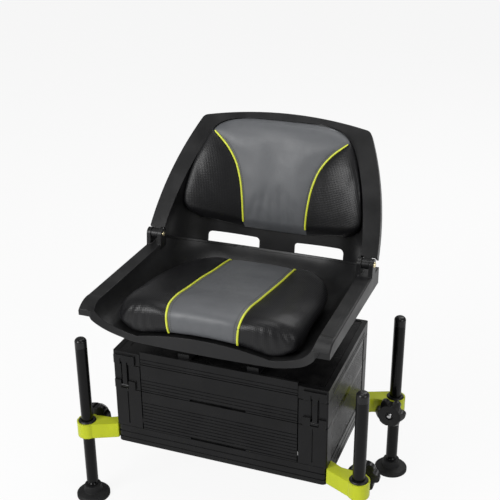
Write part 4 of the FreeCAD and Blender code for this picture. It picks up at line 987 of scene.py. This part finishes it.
def build_lights():
    """Four soft boxes, and an even sky that shows white to the camera."""
    aim = Vector((0.0, 0.0, 0.45))
    lamps = [("key", (-1.6, -2.7, 1.9), 1.6, 1.35), ("fill", (2.6, -1.3, 1.7), 1.4, 0.4),
             ("back", (0.6, 2.2, 2.6), 1.8, 0.5), ("top", (0.0, -0.2, 3.2), 1.4, 0.35)]
    for name, place, size, share in lamps:
        light = bpy.data.lights.new(name, "AREA")
        light.size = size
        light.energy = studio().key * share
        lamp = bpy.data.objects.new(name, light)
        lamp.location = place
        lamp.rotation_euler = (aim - Vector(place)).to_track_quat("-Z", "Y").to_euler()
        bpy.context.scene.collection.objects.link(lamp)
    world = bpy.data.worlds.new("studio")
    bpy.context.scene.world = world
    world.use_nodes = True
    net = Net(world.node_tree)
    rays = net.add("LightPath").outputs
    seen = net.math("MAXIMUM", rays["Is Camera Ray"], rays["Is Transmission Ray"])
    strength = net.math("MULTIPLY_ADD", seen, 1.0 - studio().sky)
    strength.node.inputs[2].default_value = studio().sky
    shader = world.node_tree.nodes["Background"]
    shader.inputs["Color"].default_value = (1, 1, 1, 1)
    net.join(strength, shader.inputs["Strength"])


CAMERA_PLACE = Vector((0.6425, -1.6874, 1.3642))
CAMERA_TURN = math.radians(20.7065)
CAMERA_DIP = math.radians(24.2127)
CAMERA_ROLL = math.radians(-0.3696)


def build_camera():
    """The photograph's view: place, turn to the left, dip and a slight roll."""
    sy, cy = math.sin(CAMERA_TURN), math.cos(CAMERA_TURN)
    sp, cp = math.sin(CAMERA_DIP), math.cos(CAMERA_DIP)
    ahead = Vector((-sy * cp, cy * cp, -sp))
    right = Vector((cy, sy, 0.0))
    up = right.cross(ahead)
    across = math.cos(CAMERA_ROLL) * right + math.sin(CAMERA_ROLL) * up
    upward = -math.sin(CAMERA_ROLL) * right + math.cos(CAMERA_ROLL) * up
    data = bpy.data.cameras.new("view")
    data.lens = studio().lens
    data.sensor_width = 36.0
    camera = bpy.data.objects.new("view", data)
    turn = Matrix((across, upward, -ahead)).transposed().to_4x4()
    camera.matrix_world = Matrix.Translation(CAMERA_PLACE) @ turn
    bpy.context.scene.collection.objects.link(camera)
    bpy.context.scene.camera = camera
    bpy.context.scene.view_settings.view_transform = "Standard"


# Operators

class StepOperator:
    """What the steps share: they finish, or raise an error."""

    bl_options = {"REGISTER", "UNDO"}

    def execute(self, context):
        self.work()
        return {"FINISHED"}


class SEATBOX_OT_stage(StepOperator, bpy.types.Operator):
    """Pale floor, soft lamps and the camera"""

    bl_idname = "seatbox.stage"
    bl_label = "Stage"

    def work(self):
        build_floor()
        build_lights()
        build_camera()


class SEATBOX_OT_finishes(StepOperator, bpy.types.Operator):
    """Materials for the box, its legs and the moulded seat: each node gets its slot's own"""

    bl_idname = "seatbox.finishes"
    bl_label = "Finishes"

    def work(self):
        build_materials()
        for name, piece in frame["nodes"].items():
            if "cushion" not in name:
                slot = piece.material_slots[0]
                slot.material = materials[slot.material.name.split(".")[0]]


class SEATBOX_OT_seat_cushion(StepOperator, bpy.types.Operator):
    """The seat's pad with its piping and stitches"""

    bl_idname = "seatbox.seat_cushion"
    bl_label = "Seat cushion"

    def work(self):
        top, under, seams = seat_cushion_grid()
        top = build_pad("seat_pad", top, under, seams, "seat", "seat_cushion")
        build_piping("seat_piping", top, seams, "seat", slice(2, -2))
        build_stitches("seat_stitches", top, seams, "seat", slice(4, -5))


class SEATBOX_OT_back_cushion(StepOperator, bpy.types.Operator):
    """The backrest's pad with its piping and stitches, which end where the seams meet the rim"""

    bl_idname = "seatbox.back_cushion"
    bl_label = "Back cushion"

    def work(self):
        rim_room = 8.0
        top, under, seams, seam, half = back_cushion_grid()
        top = build_pad("back_pad", top, under, seams, "backrest", "backrest_cushion")
        crossing = int(np.argmax(half - seam < rim_room))
        build_piping("back_piping", top, seams, "backrest", slice(4, crossing + 1))
        build_stitches("back_stitches", top, seams, "backrest", slice(6, crossing - 3))


class SEATBOX_OT_fittings(StepOperator, bpy.types.Operator):
    """The lip along the pan's back edge and the nuts in the clamp knobs"""

    bl_idname = "seatbox.fittings"
    bl_label = "Fittings"

    def work(self):
        build_seam_lip()
        build_knob_nuts()


STEPS = [SEATBOX_OT_stage, SEATBOX_OT_finishes, SEATBOX_OT_seat_cushion, SEATBOX_OT_back_cushion,
         SEATBOX_OT_fittings]


class SEATBOX_PT_panel(bpy.types.Panel):
    """Lists the steps that dress the seat box"""

    bl_idname = "SEATBOX_PT_panel"
    bl_label = "Seat box"
    bl_space_type = "VIEW_3D"
    bl_region_type = "UI"
    bl_category = "Seat box"

    def draw(self, context):
        for step in STEPS:
            self.layout.operator(step.bl_idname)


CLASSES = [*SETTINGS.values(), *STEPS, SEATBOX_PT_panel]


def register():
    for cls in CLASSES:
        bpy.utils.register_class(cls)
    for name, cls in SETTINGS.items():
        setattr(bpy.types.Scene, name, bpy.props.PointerProperty(type=cls))


def unregister():
    for name in SETTINGS:
        delattr(bpy.types.Scene, name)
    for cls in reversed(CLASSES):
        bpy.utils.unregister_class(cls)


def main():
    register()
    for step in STEPS:
        area, name = step.bl_idname.split(".")
        getattr(getattr(bpy.ops, area), name)()


if __name__ == "__main__":
    main()
